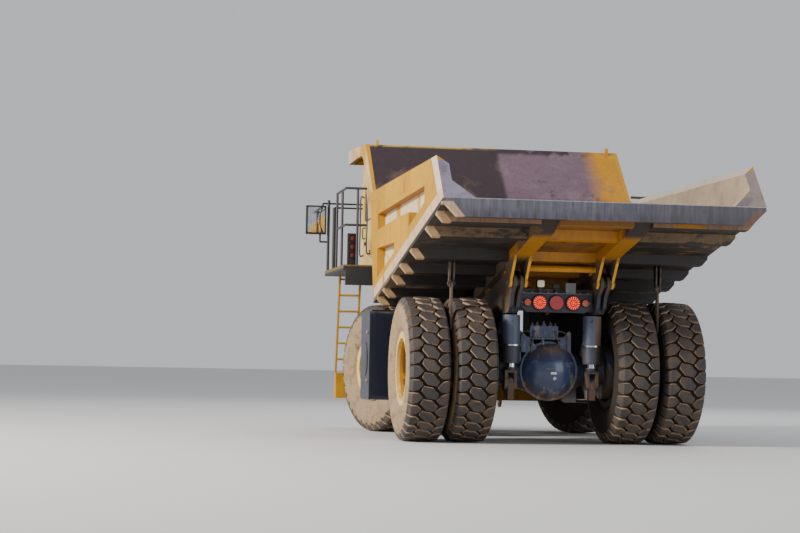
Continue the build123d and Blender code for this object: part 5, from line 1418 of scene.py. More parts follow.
@dataclass
class Deck(Assembly):
    """Fittings on the decks and the front: lamp lenses, mirror glass, tank caps and straps, bands.

    Attributes:
        lamp: Face of the right payload lamp (x, y).
        mirror: Middle of the right mirror's rear face.
        tank_out: The tanks' outer face from the middle.
        tank_y: Middle of the tanks' length.
    """

    lamp: tuple[float, float] = (2.445, 1.95)
    mirror: Triple = (2.795, 3.995, 3.61)
    tank_out: float = 2.32
    tank_y: float = 1.13

    def dress(self) -> None:
        """Builds the decks' pieces."""
        self._lamps()
        self._mirrors()
        self._tanks()
        self._front()

    def _lamps(self) -> None:
        """Adds three round lenses with hoods to each payload lamp stack."""
        hoods, lenses = Shell(), Shell()
        for side in Side:
            x, y = side.value * self.lamp[0], self.lamp[1]
            seats = [(x, y, z) for z in (3.17, 3.03, 2.89)]
            hoods.turned([(0, 0.062), (0.030, 0.060), (0.030, 0.055), (0.002, 0.053)], seats, REARWARD, 32)
            hoods.bolts([(x + dx, y, z) for dx in (-0.058, 0.058) for z in (3.235, 2.80)], REARWARD, 0.007)
            lenses.turned([(0.001, 0.054), (0.010, 0.050), (0.018, 0.034), (0.022, 0.0)], seats, REARWARD, 32)
        hoods.build("payload_lamp_hoods", self.finish["plastic"], "body_paint")
        lenses.build("payload_lamp_lenses", self.finish["payload_lens"], "lamp_red")

    def _mirrors(self) -> None:
        """Adds a glass with a rubber rim to each mirror's rear face."""
        rims, glasses = Shell(), Shell()
        u, v = rounded(around(64, math.pi / 64), 0.16)
        scale = np.array([1.0, 0.99, 0.6, 0.3, 0.0])[:, None]
        out = np.array([0.0, 0.004, 0.006, 0.007, 0.007])[:, None]
        for side in Side:
            x, y, z = self.mirror
            x *= side.value
            rims.loop((x, y - 0.003, z), (0.155, 0, 0), (0, 0, 0.230), 0.16, 0.009)
            glasses.grid(stacked(x + 0.150 * scale * u, y - out, z + 0.225 * scale * v))
        rims.build("mirror_rims", self.finish["plastic"], "mirror_housing")
        glasses.build("mirror_glass", self.finish["mirror"], "glass")

    def _tanks(self) -> None:
        """Adds straps, filler caps, inspection covers and plugs to the tanks."""
        dark, caps = Shell(), Shell()
        u, v = rounded(around(64, math.pi / 64), 0.16)
        along, out = np.array([[-0.03, -0.002], [-0.03, 0.006], [0.03, 0.006], [0.03, -0.002]]).T[..., None]
        filler = [(0, 0.075), (0.03, 0.075), (0.034, 0.06), (0.07, 0.055), (0.08, 0.045), (0.08, 0)]
        cover = [(0, 0.27), (0.008, 0.27), (0.010, 0.262), (0.010, 0)]
        plug = [(0, 0.03), (0.02, 0.03), (0.024, 0.022), (0.024, 0)]
        for side, top in ((Side.LEFT, 1.978), (Side.RIGHT, 1.878)):
            s, axis = side.value, (side.value, 0, 0)
            middle, half = (0.532 + top) / 2, (top - 0.588) / 2
            for x in (1.30, 1.95):
                dark.grid(stacked(s * (x + along), self.tank_y + (0.45 + out) * u, middle + (half + out) * v))
            caps.turned(filler, (s * 1.62, self.tank_y, top), UPRIGHT, 32)
            face = (s * self.tank_out, self.tank_y, 1.2)
            dark.bolts(circle_points(face, axis, 0.24, 16), axis, 0.012)
            dark.turned(cover, face, axis, 48)
            caps.turned(plug, [(face[0], 0.86, z) for z in (1.62, 0.86)], axis, 20)
        dark.build("tank_straps", self.finish["tank_black"], "tank_paint")
        caps.build("tank_caps", self.finish["tan_cap"], "tank_paint")

    def _front(self) -> None:
        """Adds headlamp rings, bumper bolts, and bands and lids on the air cleaners."""
        lamps, bolts, bands = Shell(), Shell(), Shell()
        seats = [(s * 1.33 + d, 4.665, 0.755) for s in (-1, 1) for d in (-0.12, 0.12)]
        lamps.turned([(0, 0.079), (0.008, 0.079), (0.012, 0.074), (0.008, 0.066), (0, 0.064)], seats, FORWARD, 40)
        lamps.build("headlamp_rings", self.finish["chrome"], "lamp_clear")
        bolts.bolts([(s * x, 4.53, z) for s in (-1, 1) for x in (0.12, 0.62) for z in (1.06, 1.30)], FORWARD, 0.016)
        bolts.build("bumper_bolts", self.finish["pale_steel"], "body_paint")
        band = [(-0.016, 0.250), (-0.016, 0.255), (0.016, 0.255), (0.016, 0.250)]
        lid = [(0, 0.172), (0.006, 0.178), (0.02, 0.178), (0.026, 0.165), (0.04, 0.06), (0.042, 0)]
        for y in (3.30, 3.90):
            bands.turned(band, [(1.05, y, z) for z in (2.80, 3.02, 3.26)], UPRIGHT, 56)
            bands.turned(lid, (1.05, y, 3.51), UPRIGHT, 48)
        bands.build("air_cleaner_bands", self.finish["dusty_steel"], "tank_paint")


@dataclass
class Cab(Assembly):
    """The cab's trim: window rubbers, louvres, handles, wipers and its padded seat.

    Attributes:
        left_x: The cab's left face.
        right_x: Its right face.
        rear_y: Its rear face.
        screen: Foot of the windscreen (y, z).
        lean: The windscreen's upward direction.
        seat: The seat's middle, its rear and the cab's floor.
        recline: The lean of the seat's back, in degrees.
    """

    left_x: float = -1.98
    right_x: float = -0.64
    rear_y: float = 2.70
    screen: tuple[float, float] = (4.1877, 3.52)
    lean: Triple = (0.0, -0.1743, 1.0)
    seat: Triple = (-1.31, 2.97, 2.79)
    recline: float = 6.3

    def dress(self) -> None:
        """Builds the cab's pieces."""
        self._windows()
        self._louvres()
        self._seat()

    def _on_screen(self, x: float, out: float, up: float) -> Array:
        """Gives the point of the windscreen at a run up from its foot, moved out by some metres."""
        return np.array([x, *self.screen]) + np.array(self.lean) * up + np.array([0.0, out, 0.0])

    def _windows(self) -> None:
        """Adds rubbers round the windows, two wipers, and the door's rubber, handle and lock."""
        rubber, door = Shell(), Shell()
        middle, tall = (self.left_x + self.right_x) / 2, (0, 0, 0.350)
        rubber.loop((middle, self.rear_y - 0.002, 3.985), (0.515, 0, 0), tall, 0.10, 0.014)
        rubber.loop((self.right_x + 0.002, 3.38, 3.985), (0, 0.505, 0), tall, 0.10, 0.014)
        rubber.loop(self._on_screen(middle, 0.004, 0.405), (0.555, 0, 0), np.array(self.lean) * 0.41, 0.10, 0.014)
        for x in (-1.62, -1.08):
            arm = [self._on_screen(x + dx, 0.03, up) for up, dx in ((-0.06, 0.0), (0.2, 0.03), (0.45, 0.08))]
            rubber.pipe(arm, 0.009, 5, 8)
            blade = [self._on_screen(x + dx, 0.018, up) for up, dx in ((0.2, 0.05), (0.45, 0.08), (0.7, 0.11))]
            rubber.pipe(blade, 0.007, 5, 8)
            rubber.turned([(-0.03, 0.02), (0.04, 0.02), (0.045, 0)], (x, 4.19, 3.46), FORWARD, 16)
        rubber.build("window_rubbers", self.finish["plastic"], "body_paint")
        x = self.left_x
        door.loop((x - 0.002, 3.39, 3.945), (0, 0.243, 0), (0, 0, 0.368), 0.12, 0.012)
        door.pipe(stacked((x, x - 0.05, x - 0.05, x), 3.64, (3.28, 3.29, 3.45, 3.46)), 0.011, 6)
        door.box((x - 0.018, 3.60, 3.16), (x + 0.002, 3.69, 3.22), 0.004)
        door.build("door_trim", self.finish["plastic"], "body_paint", "door")

    def _louvres(self) -> None:
        """Adds louvres beside the door, under the rear window and on the hood, and grab rails by the door."""
        slats, hood, rails = Shell(), Shell(), Shell()
        x, y = self.left_x, self.rear_y
        for z in np.linspace(2.95, 3.30, 10):
            leaf = stacked((x, x - 0.022, x - 0.022, x), 2.76, z - np.array([0, 0.016, 0.022, 0.008]))
            slats.plate(leaf, (0, 0.23, 0), 0.001)
        step = np.array([0, 0.014, 0.020, 0.008])
        for slat in np.linspace(-1.80, -0.86, 12):
            slats.plate(stacked(slat + step, (y, y - 0.02, y - 0.02, y), 2.90), (0, 0, 0.42), 0.001)
        slats.build("cab_louvres", self.finish["cab_paint"], "body_paint")
        for side in Side:
            for slat in np.linspace(2.60, 4.05, 18):
                edge = side.value * np.array([0.52, 0.538, 0.538, 0.52])
                hood.plate(stacked(edge, slat + step, 2.80), (0, 0, 0.26), 0.001)
        hood.build("hood_louvres", self.finish["yellow_body"], "body_paint")
        for y in (3.01, 3.80):
            rails.pipe(stacked((x, x - 0.07, x - 0.07, x - 0.07, x), y, (3.0, 3.02, 3.5, 3.98, 4.0)), 0.014, 7)
        rails.build("cab_grab_rails", self.finish["rail_dark"], "frame_paint")

    def _seat(self) -> None:
        """Builds the padded seat in place of its CAD node: a bellows foot, a cushion and a back."""
        foot = Shell()
        x, y, z = self.seat
        rise = np.linspace(0, 1, 33)[:, None]
        u, v = rounded(around(64)[None, :], 0.25)
        end = np.zeros((1, 1))
        size = np.concatenate([end, 0.93 + 0.06 * np.cos(rise * 2 * math.pi * 5), end])
        height = np.concatenate([end, rise, end + 1]) * 0.28
        foot.grid(stacked(x + 0.168 * size * u, y + 0.23 + 0.178 * size * v, z + height))
        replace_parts(foot.build("seat_bellows", self.finish["plastic"], "seat_fabric"), "operator_seat")
        lean = math.radians(self.recline)
        flat = pillow((0.246, 0.335, 0.058), 3)
        c, s = math.cos(lean), math.sin(lean)
        deep, tall = flat[..., 2] * c - flat[..., 1] * s, flat[..., 1] * c + flat[..., 2] * s
        for name, shape, place in (
            ("seat_cushion", pillow((0.256, 0.262, 0.074), 3), (x, y + 0.265, z + 0.353)),
            ("seat_back", stacked(flat[..., 0], deep, tall)[:, ::-1], (x, y + 0.037, z + 0.74)),
        ):
            pad = Shell()
            pad.grid(shape + np.array(place))
            piece = pad.build(name, self.finish["seat_cloth"], "seat_fabric", sharp=60)
            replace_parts(piece, "operator_seat")


# ---------------------------------------------------------------- the whole model


@dataclass
class Studio:
    """Camera at the photograph's place, soft light and a plain pale floor.

    Attributes:
        place: The camera's place, in metres.
        yaw: Its turn to the right of +Y, in radians.
        pitch: Its upward tilt, in radians.
        roll: Its roll, in radians.
        lens: The focal length on a 36 mm sensor, in mm.
        lights: Each light's name, place, side in metres, power in watts and colour.
        sky: The sky's colour.
        sky_power: Its strength.
        ground: The floor's colour.
        ground_half: Half the floor's side, in metres.
    """

    place: Triple = (-6.825, -29.148, 1.086)
    yaw: float = 0.165
    pitch: float = 0.052
    roll: float = 0.018
    lens: float = 86.6
    lights: tuple[tuple[str, Triple, float, float, Triple], ...] = (
        ("key", (-27.0, -9.0, 14.0), 6.0, 14500.0, (1.0, 0.96, 0.88)),
        ("fill", (16.0, -20.0, 7.0), 14.0, 1600.0, (0.84, 0.9, 1.0)),
        ("back", (8.0, 20.0, 16.0), 14.0, 1500.0, (0.95, 0.97, 1.0)),
    )
    sky: Triple = (0.80, 0.83, 0.88)
    sky_power: float = 0.72
    ground: Triple = (0.62, 0.61, 0.6)
    ground_half: float = 400.0

    def build(self) -> None:
        """Makes the camera, the lights, the sky and the floor."""
        link = bpy.context.scene.collection.objects.link
        self._camera(link)
        for name, place, size, power, tint in self.lights:
            data = bpy.data.lights.new(name, "AREA")
            data.shape, data.size, data.energy, data.color = "SQUARE", size, power, tint
            light = bpy.data.objects.new(name, data)
            light.location = place
            light.rotation_mode = "QUATERNION"
            light.rotation_quaternion = (Vector((0, 0, 1.8)) - Vector(place)).to_track_quat("-Z", "Y")
            link(light)
        world = bpy.data.worlds.new("sky")
        world.use_nodes = True
        sky = world.node_tree.nodes["Background"].inputs
        sky[0].default_value, sky[1].default_value = (*self.sky, 1.0), self.sky_power
        bpy.context.scene.world = world
        mesh = bpy.data.meshes.new("floor")
        size = self.ground_half
        mesh.from_pydata([(-size, -size, 0), (size, -size, 0), (size, size, 0), (-size, size, 0)], [], [(0, 1, 2, 3)])
        material = bpy.data.materials.new("floor")
        material.use_nodes = True
        shader = material.node_tree.nodes["Principled BSDF"].inputs
        shader["Base Color"].default_value, shader["Roughness"].default_value = (*self.ground, 1.0), 0.9
        mesh.materials.append(material)
        floor = bpy.data.objects.new("floor", mesh)
        link(floor)

    def _camera(self, link: Any) -> None:
        """Makes the camera with its right, up and backward directions from yaw, pitch and roll.

        Args:
            link: Adds an object to the scene.
        """
        level = math.cos(self.pitch)
        ahead = np.array([math.sin(self.yaw) * level, math.cos(self.yaw) * level, math.sin(self.pitch)])
        right = np.array([math.cos(self.yaw), -math.sin(self.yaw), 0.0])
        up = np.cross(right, ahead)
        c, s = math.cos(self.roll), math.sin(self.roll)
        data = bpy.data.cameras.new("camera")
        data.lens, data.sensor_width, data.clip_end = self.lens, 36.0, 2000.0
        data.dof.use_dof = False
        camera = bpy.data.objects.new("camera", data)
        link(camera)
        columns = Matrix((c * right + s * up, c * up - s * right, -ahead)).transposed().to_4x4()
        camera.matrix_world = Matrix.Translation(Vector(self.place)) @ columns
        bpy.context.scene.camera = camera


class Truck:
    """The whole appearance model: finishes on CAD nodes and the pieces added to them."""

    def __init__(self) -> None:
        """Builds the shared effects and the finishes."""
        effects = Effects()
        coats = (*self._bed_coats(), *self._body_coats(), *self._running_coats())
        self.finish = {f.name: f.build(effects) for f in (*coats, *self._small_finishes())}

    @staticmethod
    def _bed_coats() -> list[Finish]:
        """Lists the bed's coats.

        Returns:
            The finishes.
        """
        out = (OUTWARD, 0.5, 0.75)
        inside = (OUTWARD, -0.3, -0.6)
        rear = (AHEAD, -0.45, -0.65)
        tail = (FROM_TAIL, 0.14, 0.08)
        below = (UP, -0.3, -0.6)
        above = (UP, 0.3, 0.6)
        lip = ((Y, -4.52, -4.545), (AHEAD, -0.5, -0.7))
        foot = ((Y, -4.5, -4.53), (Z, 3.25, 3.24))
        side = (
            Layer(PALE_GOLD, speckle=Speckle(0.8, 0.42, 0.62), strength=0.5),
            Layer(CREAM, (out, (SPAN, 2.13, 2.11)), Speckle(1.5, 0.36, 0.5), rough=0.7),
            # Painted shade: darker gold on the side's downward faces.
            Layer(SHADED_GOLD, (below,)),
            Layer((222, 200, 178), (out, (SPAN, 2.15, 2.17), (FROM_TAIL, 0.415, 0.40)), strength=0.94),
            Layer(
                (208, 176, 140), (out, (SPAN, 2.15, 2.17), (OVER_FLOOR, 0.17, 0.155)), Speckle(1.7, 0.28, 0.42),
                rough=0.6,
            ),
            Layer(RUST, (out,), Speckle(3.4, 0.66, 0.72), strength=0.75, rough=0.8),
            Layer((170, 150, 126), (inside,), rough=0.6, metal=0.1),
            Layer((146, 126, 108), (inside,), Speckle(0.8, 0.40, 0.66), rough=0.5, metal=0.2),
            Layer((142, 134, 152), (rear, tail), rough=0.45, metal=0.2),
            Layer((142, 126, 120), (rear, tail, (X, 0.0, 0.5)), rough=0.5, metal=0.1),
            Layer((100, 90, 100), (rear, tail), Speckle(3.0, 0.5, 0.62), strength=0.6, rough=0.5, metal=0.2),
            Layer(GOLD, (rear, tail, (Z, 3.82, 3.84))),
            Layer(
                (206, 190, 160), ((UP, 0.85, 0.95), (Z, 3.7, 3.75)), Speckle(2.0, 0.3, 0.5, (1.0, 9.0, 1.0)),
                rough=0.55,
            ),
        )
        floor = (
            # Painted shade with dirt: dark brown on the floor's downward faces.
            Layer((74, 60, 46), (below,), Speckle(2.3, 0.46, 0.66, (1.0, 4.0, 1.0)), rough=0.9),
            Layer((150, 104, 24), (below, (X, 0.5, 0.9)), Speckle(2.6, 0.58, 0.64, (1.0, 5.0, 1.0)), rough=0.8),
            Layer((146, 96, 14), (below, (SPAN, 0.53, 0.50)), Speckle(1.2, 0.32, 0.55), strength=0.9, rough=0.6),
            Layer((104, 92, 92), (above,), rough=0.45, metal=0.35),
            Layer((66, 54, 58), (above,), Speckle(1.4, 0.42, 0.6, (3.0, 1.0, 1.0)), rough=0.5, metal=0.25),
            Layer((98, 96, 108), lip, rough=0.42, metal=0.25),
            Layer(
                (132, 128, 136), (*lip, (Z, 3.06, 3.27)), Speckle(1.0, 0.36, 0.72, (26.0, 1.0, 1.3)), strength=0.7,
                rough=0.4, metal=0.25,
            ),
            # Painted shade: the tail lip darker towards the right.
            Layer((64, 56, 60), (*lip, (X, -0.6, 1.6)), strength=0.6, rough=0.5),
            Layer(
                (66, 60, 66), (*lip, (Z, 3.2, 3.06)), Speckle(1.0, 0.40, 0.66, (12.0, 1.0, 1.0)), strength=0.7,
                rough=0.45, metal=0.25,
            ),
            Layer((196, 194, 198), ((Y, -4.52, -4.545), (Z, 3.285, 3.295)), strength=0.7, rough=0.3, metal=0.5),
            # Painted sunlight: cream near the left slanted ends at the tail; brown near the right ones.
            Layer((200, 168, 130), ((FROM_END, 0.16, 0.145), *foot, (X, -1.0, -1.2)), rough=0.6),
            Layer((110, 82, 64), ((FROM_END, 0.2, 0.14), *foot, (X, 1.0, 1.2)), rough=0.6),
            Layer(
                (130, 108, 86), ((Z, 2.62, 2.58), (SPAN, 1.45, 1.48), (OUTWARD, -0.2, 0.0)),
                Speckle(7.0, 0.38, 0.5), strength=0.7, rough=0.9,
            ),
        )
        rearward = (AHEAD, -0.3, -0.6)
        bolsters = (
            Layer(
                (146, 110, 86), (rearward, (Y, -4.0, -4.1)), Speckle(1.0, 0.26, 0.5, (12.0, 1.0, 1.2)), rough=0.7
            ),
            Layer(
                (122, 100, 76), (rearward, (Y, -3.2, -3.3), (Y, -3.95, -3.9)),
                Speckle(3.2, 0.38, 0.54, (1.0, 1.0, 2.0)), rough=0.9,
            ),
            Layer(
                (186, 124, 0), ((X, 0.8, 1.0), (Y, -3.5, -3.6), rearward),
                Speckle(1.6, 0.46, 0.56, (1.0, 1.0, 2.5)), rough=0.6,
            ),
            Layer((190, 124, 0), ((SPAN, 0.53, 0.50), (Y, -4.2, -3.6)), Speckle(1.5, 0.2, 0.42), rough=0.5),
            Layer((140, 92, 16), ((SPAN, 0.53, 0.50), (Y, -3.9, -4.1)), Speckle(1.5, 0.24, 0.4), rough=0.6),
            # Painted sunlight: pale on the bolsters' left slanted ends.
            Layer((190, 152, 106), ((FROM_END, 0.12, 0.105), (X, -1.0, -1.2)), rough=0.6),
        )
        edge = ((AHEAD, -0.35, -0.6), (Z, 2.70, 2.66), (Y, -2.6, -2.55))
        beams = (
            Layer((56, 42, 36), ((Y, -3.55, -3.85),), Speckle(1.4, 0.2, 0.36), rough=0.8),
            Layer((112, 82, 48), ((OUTWARD, 0.4, 0.7), (Y, -2.4, -3.0)), Speckle(2.2, 0.36, 0.52), rough=0.8),
            Layer(
                (96, 80, 64), ((AHEAD, -0.45, -0.2), (AHEAD, 0.45, 0.2), (Z, 2.72, 2.6), (SPAN, 0.45, 0.5)),
                Speckle(3.0, 0.26, 0.44), rough=0.85,
            ),
            Layer((232, 164, 20), edge, Speckle(3.5, 0.24, 0.36), rough=0.4),
            Layer((206, 140, 18), ((SPAN, 0.5, 0.48), (Z, 2.45, 2.47)), Speckle(2.0, 0.2, 0.4), rough=0.5),
        )
        head = (
            Layer(
                (118, 94, 108), ((X, 0.02, 0.12), (Z, 4.74, 4.66)), Speckle(0.85, 0.40, 0.44), rough=0.5, metal=0.2
            ),
            Layer((134, 110, 120), ((X, -0.2, 0.3),), Speckle(1.6, 0.52, 0.62), strength=0.7, rough=0.5, metal=0.2),
            Layer((110, 84, 76), ((X, -0.2, -0.5),), Speckle(1.1, 0.5, 0.6), strength=0.6),
            Layer((200, 138, 0), ((X, 1.45, 1.85),), Speckle(1.3, 0.26, 0.50), rough=0.5),
            Layer((214, 166, 60), ((Z, 4.74, 4.79), (X, 0.2, -0.4)), Speckle(1.6, 0.3, 0.5)),
            Layer((206, 140, 34), ((AHEAD, 0.3, 0.6),), rough=0.5),
            Layer(PALE_GOLD, ((OUTWARD, 0.5, 0.8),), rough=0.5),
        )
        canopy = (
            Layer(CREAM, (out,), Speckle(1.0, 0.36, 0.6), strength=0.8, rough=0.6),
            # Painted shade with dirt: speckled brown on the canopy's downward faces.
            Layer((96, 72, 44), (below,), Speckle(1.2, 0.3, 0.5), rough=0.8),
            Layer((180, 120, 30), (inside,)),
        )
        return [
            Coat("bed_side_paint", GOLD, side, rough=0.62, wear=0.6, dust=-0.3, low=0.0, streak=0.0),
            # The floor's and the bolsters' near-black base is soot with painted shade under the bed.
            Coat(
                "bed_floor_steel", SOOT_AND_SHADE, floor, rough=0.6, wear=0.25, dust=-0.25, low=0.0, streak=0.25,
                run=(26.0, 2.0, 1.5),
            ),
            Coat("bolster_paint", SOOT_AND_SHADE, bolsters, rough=0.6, wear=0.45, dust=-0.1, low=0.0, streak=0.15),
            Coat("beam_paint", (176, 118, 14), beams, rough=0.5, wear=0.6, dust=-0.2, low=0.0, streak=0.1),
            Coat(
                "headboard_steel", (56, 42, 46), head, rough=0.5, metal=0.1, wear=0.3, dust=-0.25, low=0.0,
                streak=0.15,
            ),
            Coat("canopy_paint", (198, 144, 8), canopy, rough=0.45, wear=0.5, dust=-0.2, low=0.0, streak=0.06),
        ]

    @staticmethod
    def _body_coats() -> list[Finish]:
        """Lists the coats of the frame, decks, cab and tanks.

        Returns:
            The finishes.
        """
        deck = (
            Layer((34, 36, 46), ((AHEAD, -0.4, -0.7), (Z, 2.71, 2.70)), rough=0.5),
            # Painted shade: near black on the decks' downward faces.
            Layer((28, 26, 26), ((UP, -0.4, -0.7),), rough=0.8),
            Layer((60, 56, 54), ((UP, 0.5, 0.8),), rough=0.85),
            Layer((30, 31, 38), ((Z, 2.64, 2.62),), rough=0.6),
            Layer((40, 40, 44), ((Z, 2.69, 2.67),), rough=0.6),
        )
        rail = (
            Layer((96, 84, 74), ((Y, -1.6, -1.9), (Z, 2.1, 2.25)), Speckle(3.0, 0.36, 0.52), rough=0.85),
            Layer((54, 60, 76), ((Y, -1.6, -1.9), (Z, 2.3, 2.0)), Speckle(2.0, 0.4, 0.56), strength=0.8, rough=0.5),
            Layer((98, 78, 58), ((OUTWARD, 0.4, 0.8),), Speckle(2.4, 0.42, 0.6, (1.0, 1.0, 0.5)), rough=0.9),
        )
        cab = (
            Layer(CREAM, (), Speckle(0.9, 0.42, 0.6), strength=0.55),
            # Painted shade: darker gold on the cab's downward faces.
            Layer(SHADED_GOLD, ((UP, -0.4, -0.7),)),
            Layer(
                (44, 42, 42), ((SPAN, 1.925, 1.92), (Y, 2.755, 2.76), (Y, 4.15, 4.14), (Z, 4.495, 4.49)), rough=0.8
            ),
        )
        return [
            Coat(
                "yellow_body", GOLD, (Layer(PALE_GOLD, (), Speckle(0.8, 0.42, 0.64), strength=0.6),), rough=0.38,
                wear=0.5, dust=-0.2, low=0.25, streak=0.1,
            ),
            Coat("cab_paint", (224, 182, 84), cab, rough=0.4, wear=0.35, dust=-0.25, low=0.0, streak=0.06),
            Coat("deck_paint", (118, 92, 40), deck, rough=0.55, wear=0.45, dust=-0.05, low=0.0, streak=0.15),
            Coat("frame_grey", (62, 56, 54), rail, rough=0.6, wear=0.25, dust=-0.08, low=0.2, streak=0.2),
            Coat(
                "lamp_bar_paint", (50, 53, 64),
                (
                    Layer((104, 104, 112), ((Z, 2.176, 2.18), (Z, 2.20, 2.195)), rough=0.5),
                    Layer((112, 112, 118), ((Z, 2.2, 2.21), (X, 0.05, 0.1)), rough=0.5),
                ),
                rough=0.55, wear=0.3, dust=-0.2, low=0.0, streak=0.1,
            ),
            Coat(
                "rail_dark", (58, 58, 64), (), rough=0.45, wear=0.4, dust=-0.15, low=0.0, bare=(110, 92, 74),
                streak=0.1,
            ),
            Coat(
                "tank_black", (34, 38, 52),
                (Layer((92, 80, 68), ((UP, 0.3, 0.8),), Speckle(5.0, 0.4, 0.6), rough=0.9),), rough=0.3, wear=0.25,
                dust=-0.15, low=0.12, streak=0.15,
            ),
            Coat(
                "engine_iron", (66, 62, 58), (Layer((40, 34, 30), (), Speckle(3.0, 0.45, 0.6)),), rough=0.6,
                wear=0.3, dust=0.0,
            ),
            Coat(
                "ejector_bar", (108, 90, 70), (Layer((70, 56, 46), (), Speckle(5.0, 0.46, 0.58, (1.0, 1.0, 0.3))),),
                rough=0.85, wear=0.3, dust=0.0, bare=(150, 128, 102),
            ),
        ]

    @staticmethod
    def _running_coats() -> list[Finish]:
        """Lists the coats of the axle, struts, rims and tyres.

        Returns:
            The finishes.
        """
        axle = (
            Layer(
                (112, 78, 52), ((FROM_COVER, 0.30, 0.43), (Z, 1.0, 0.78), (AHEAD, -0.1, -0.4)),
                Speckle(5.0, 0.3, 0.52), rough=0.8,
            ),
            Layer(
                (146, 128, 110), ((FROM_COVER, 0.20, 0.34), (AHEAD, -0.1, -0.4)),
                Speckle(2.2, 0.57, 0.60, (5.0, 1.0, 2.0)), strength=0.7, rough=0.7,
            ),
            Layer((126, 116, 108), (), Speckle(2.0, 0.64, 0.66, (1.0, 1.0, 6.0)), strength=0.5, rough=0.7),
            Layer((92, 74, 58), ((UP, 0.2, 0.8), (Z, 1.2, 1.35)), Speckle(5.0, 0.36, 0.52), rough=0.9),
            Layer((86, 70, 56), ((SPAN, 0.46, 0.6),), Speckle(4.0, 0.42, 0.56), strength=0.8, rough=0.85),
        )
        strut = (
            Layer((96, 76, 58), (), Speckle(3.4, 0.50, 0.60, (1.0, 1.0, 0.5)), strength=0.8, rough=0.85),
            Layer((124, 98, 72), ((X, 0.58, 0.66),), Speckle(5.0, 0.40, 0.52, (1.0, 1.0, 0.4)), rough=0.9),
            Layer((42, 42, 50), ((Z, 1.43, 1.42), (Y, 0.0, -0.5)), strength=0.7, rough=0.5),
        )
        rod = (
            Layer((46, 46, 54), ((Z, 1.112, 1.108), (Y, 0.0, -0.5)), rough=0.4, metal=0.2),
            Layer((104, 84, 68), ((Z, 1.07, 1.03), (Y, 0.0, -0.5)), Speckle(6.0, 0.34, 0.52), rough=0.9),
        )
        tread = (
            # Painted shade: darker brown on the carcass, in the grooves and on the walls that the beige dust leaves
            # bare.
            Layer((40, 31, 25), ((RELIEF, 0.25, 0.1),), rough=0.95),
            Layer(
                (176, 146, 114), ((RELIEF, 0.15, 0.45), (RELIEF, 0.98, 0.8)), Speckle(9.0, 0.26, 0.48),
                strength=0.9, rough=0.9,
            ),
            Layer((98, 80, 64), ((RELIEF, 0.8, 0.98),), Speckle(3.2, 0.44, 0.62), strength=0.6, rough=0.9),
            Layer((74, 62, 52), ((RELIEF, 0.8, 0.98),), Speckle(34.0, 0.46, 0.60), strength=0.5, rough=0.9),
            Layer(
                (156, 132, 102), ((WALL, 0.1, 0.7), (OUTWARD, 0.0, 0.35)), Speckle(2.6, 0.24, 0.44), strength=0.95,
                rough=0.92,
            ),
            Layer(
                (112, 94, 74), ((WALL, 0.3, 0.8), (OUTWARD, 0.0, 0.35)), Speckle(6.0, 0.52, 0.62), strength=0.5,
                rough=0.92,
            ),
        )
        rim = (
            # Painted highlight: pale gold along the outer rims' edge.
            Layer((250, 214, 130), ((SPAN, 2.085, 2.10),), strength=0.8, rough=0.35),
            # Painted shade with grime: darker brown on the rims' faces that do not look outward.
            Layer(
                (104, 68, 10), ((OUTWARD, 0.4, 0.2), (SPAN, 2.07, 2.03)), Speckle(7.0, 0.40, 0.54), strength=0.85,
                rough=0.8,
            ),
            Layer(
                (120, 84, 30), ((OUTWARD, 0.2, 0.7), (SPAN, 2.08, 2.05)), Speckle(4.0, 0.44, 0.6), strength=0.7,
                rough=0.8,
            ),
            # Painted shade with grime: near black on the inner halves of the inner rear rims.
            Layer(SOOT_AND_SHADE, ((SPAN, 1.45, 1.40), (Y, 0.0, -0.5)), rough=0.7),
        )
        return [
            Coat(
                "axle_blue", (58, 72, 102), axle, rough=0.27, wear=0.12, dust=-0.22, low=0.05, streak=0.1,
                gloss=0.2, bare=(120, 108, 98),
            ),
            Coat(
                "strut_blue", (84, 94, 118), strut, rough=0.4, wear=0.3, dust=-0.18, low=0.08, streak=0.25,
                bare=(110, 96, 84),
            ),
            Coat(
                "strut_chrome", (196, 198, 204), rod, rough=0.16, metal=1.0, mottle=0.2, wear=0.0, dust=-0.4,
                low=0.0, streak=0.0, bump=0.05,
            ),
            Coat(
                "rubber", (58, 55, 56), tread, rough=0.72, mottle=0.5, streak=0.0, wear=0.0, dust=-0.3, low=0.12,
                soil=(140, 126, 110), bump=0.4, grain=90.0,
            ),
            Coat("rim_gold", (206, 146, 10), rim, rough=0.45, wear=0.4, dust=-0.1, low=0.1),
        ]

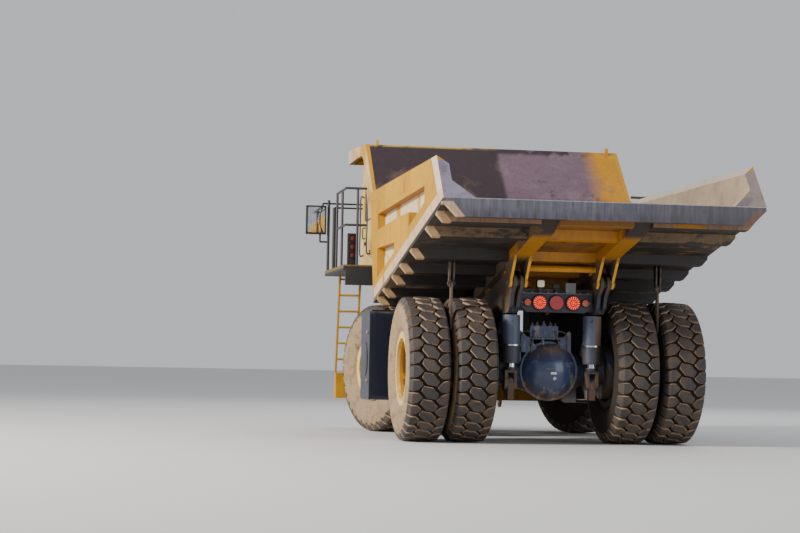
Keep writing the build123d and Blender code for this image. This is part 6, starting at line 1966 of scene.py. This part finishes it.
    @staticmethod
    def _small_finishes() -> list[Finish]:
        """Lists the finishes of glass, lamps, bright metal and small parts.

        Returns:
            The finishes.
        """
        return [
            Lens("tail_lens"),
            Plain("chrome", (0.62, 0.63, 0.65), 0.12, 1.0, -0.35),
            Plain("mirror", (0.72, 0.74, 0.76), 0.03, 1.0, -0.4),
            Plain("bright_ring", (0.66, 0.66, 0.66), 0.22, 1.0, -0.3),
            Plain("glass", (0.55, 0.64, 0.64), 0.05, 0.0, -0.38, clear=0.92),
            Plain("clear_lens", (0.8, 0.8, 0.76), 0.12, 0.0, -0.3, clear=0.4),
            Plain("cream_lens", tone((226, 218, 180)), 0.3, 0.0, -0.4, glow=0.25),
            Plain("payload_lens", tone((104, 40, 32)), 0.3, 0.0, -0.15),
            Plain("plastic", tone((34, 34, 38)), 0.5, 0.0, -0.18, 400.0),
            Plain("pale_steel", tone((158, 146, 134)), 0.5, 0.4, -0.15),
            Plain("white_steel", tone((206, 206, 210)), 0.35, 0.2, -0.35),
            Plain("dusty_steel", tone((92, 80, 68)), 0.6, 0.3, 0.0),
            Plain("weld", tone((170, 120, 62)), 0.55, 0.1, -0.1),
            Plain("bolt", tone((120, 96, 54)), 0.45, 0.5, -0.05),
            Plain("tan_cap", tone((160, 132, 92)), 0.6, 0.0, 0.0),
            Cloth("seat_cloth", tone((52, 54, 62))),
        ]

    def paint_nodes(self) -> None:
        """Gives each CAD node its finish, by its name or else by its material slot in the record."""
        by_slot = {
            "tyre": "rubber",
            "rim": "rim_gold",
            "bed_paint": "bed_side_paint",
            "worn_steel": "headboard_steel",
            "body_paint": "yellow_body",
            "frame_paint": "frame_grey",
            "axle_paint": "axle_blue",
            "chrome": "chrome",
            "tank_paint": "tank_black",
            "engine_iron": "engine_iron",
            "glass": "glass",
            "lamp_red": "tail_lens",
            "lamp_clear": "clear_lens",
            "seat_fabric": "seat_cloth",
            "dash_plastic": "plastic",
            "mirror_housing": "plastic",
        }
        by_node = {
            "bed_floor": "bed_floor_steel",
            "bed_bolsters": "bolster_paint",
            "bed_beams": "beam_paint",
            "bed_canopy": "canopy_paint",
            "cab_shell": "cab_paint",
            "cab_door": "cab_paint",
            "handrails": "rail_dark",
            "payload_lamps": "plastic",
            "tail_lamp_bar": "lamp_bar_paint",
            "rear_struts": "strut_blue",
            "front_struts": "strut_blue",
            "rear_strut_rods": "strut_chrome",
        }
        for side in Side:
            by_node[f"deck_{side.label}"] = "deck_paint"
            by_node[f"rock_ejector_{side.label}"] = "ejector_bar"
            by_node[f"steer_barrel_{side.label}"] = "strut_blue"
            by_node[f"hoist_barrel_{side.label}"] = "strut_blue"
        slots = {part["node"]: part["material_slot"] for part in frame["record"]["subparts"]}
        for node, obj in frame["nodes"].items():
            obj.data.materials.clear()
            obj.data.materials.append(self.finish[by_node.get(node, by_slot[slots[node]])])

    def dress(self) -> None:
        """Builds every added piece."""
        for kind in (Wheels, RearEnd, BedTrim, Deck, Cab):
            kind(self.finish).dress()


def main() -> None:
    """Builds the studio and the truck in order."""
    logging.basicConfig(level=logging.INFO, format="%(name)s %(message)s")
    Studio().build()
    truck = Truck()
    truck.paint_nodes()
    truck.dress()


if __name__ == "__main__":
    main()
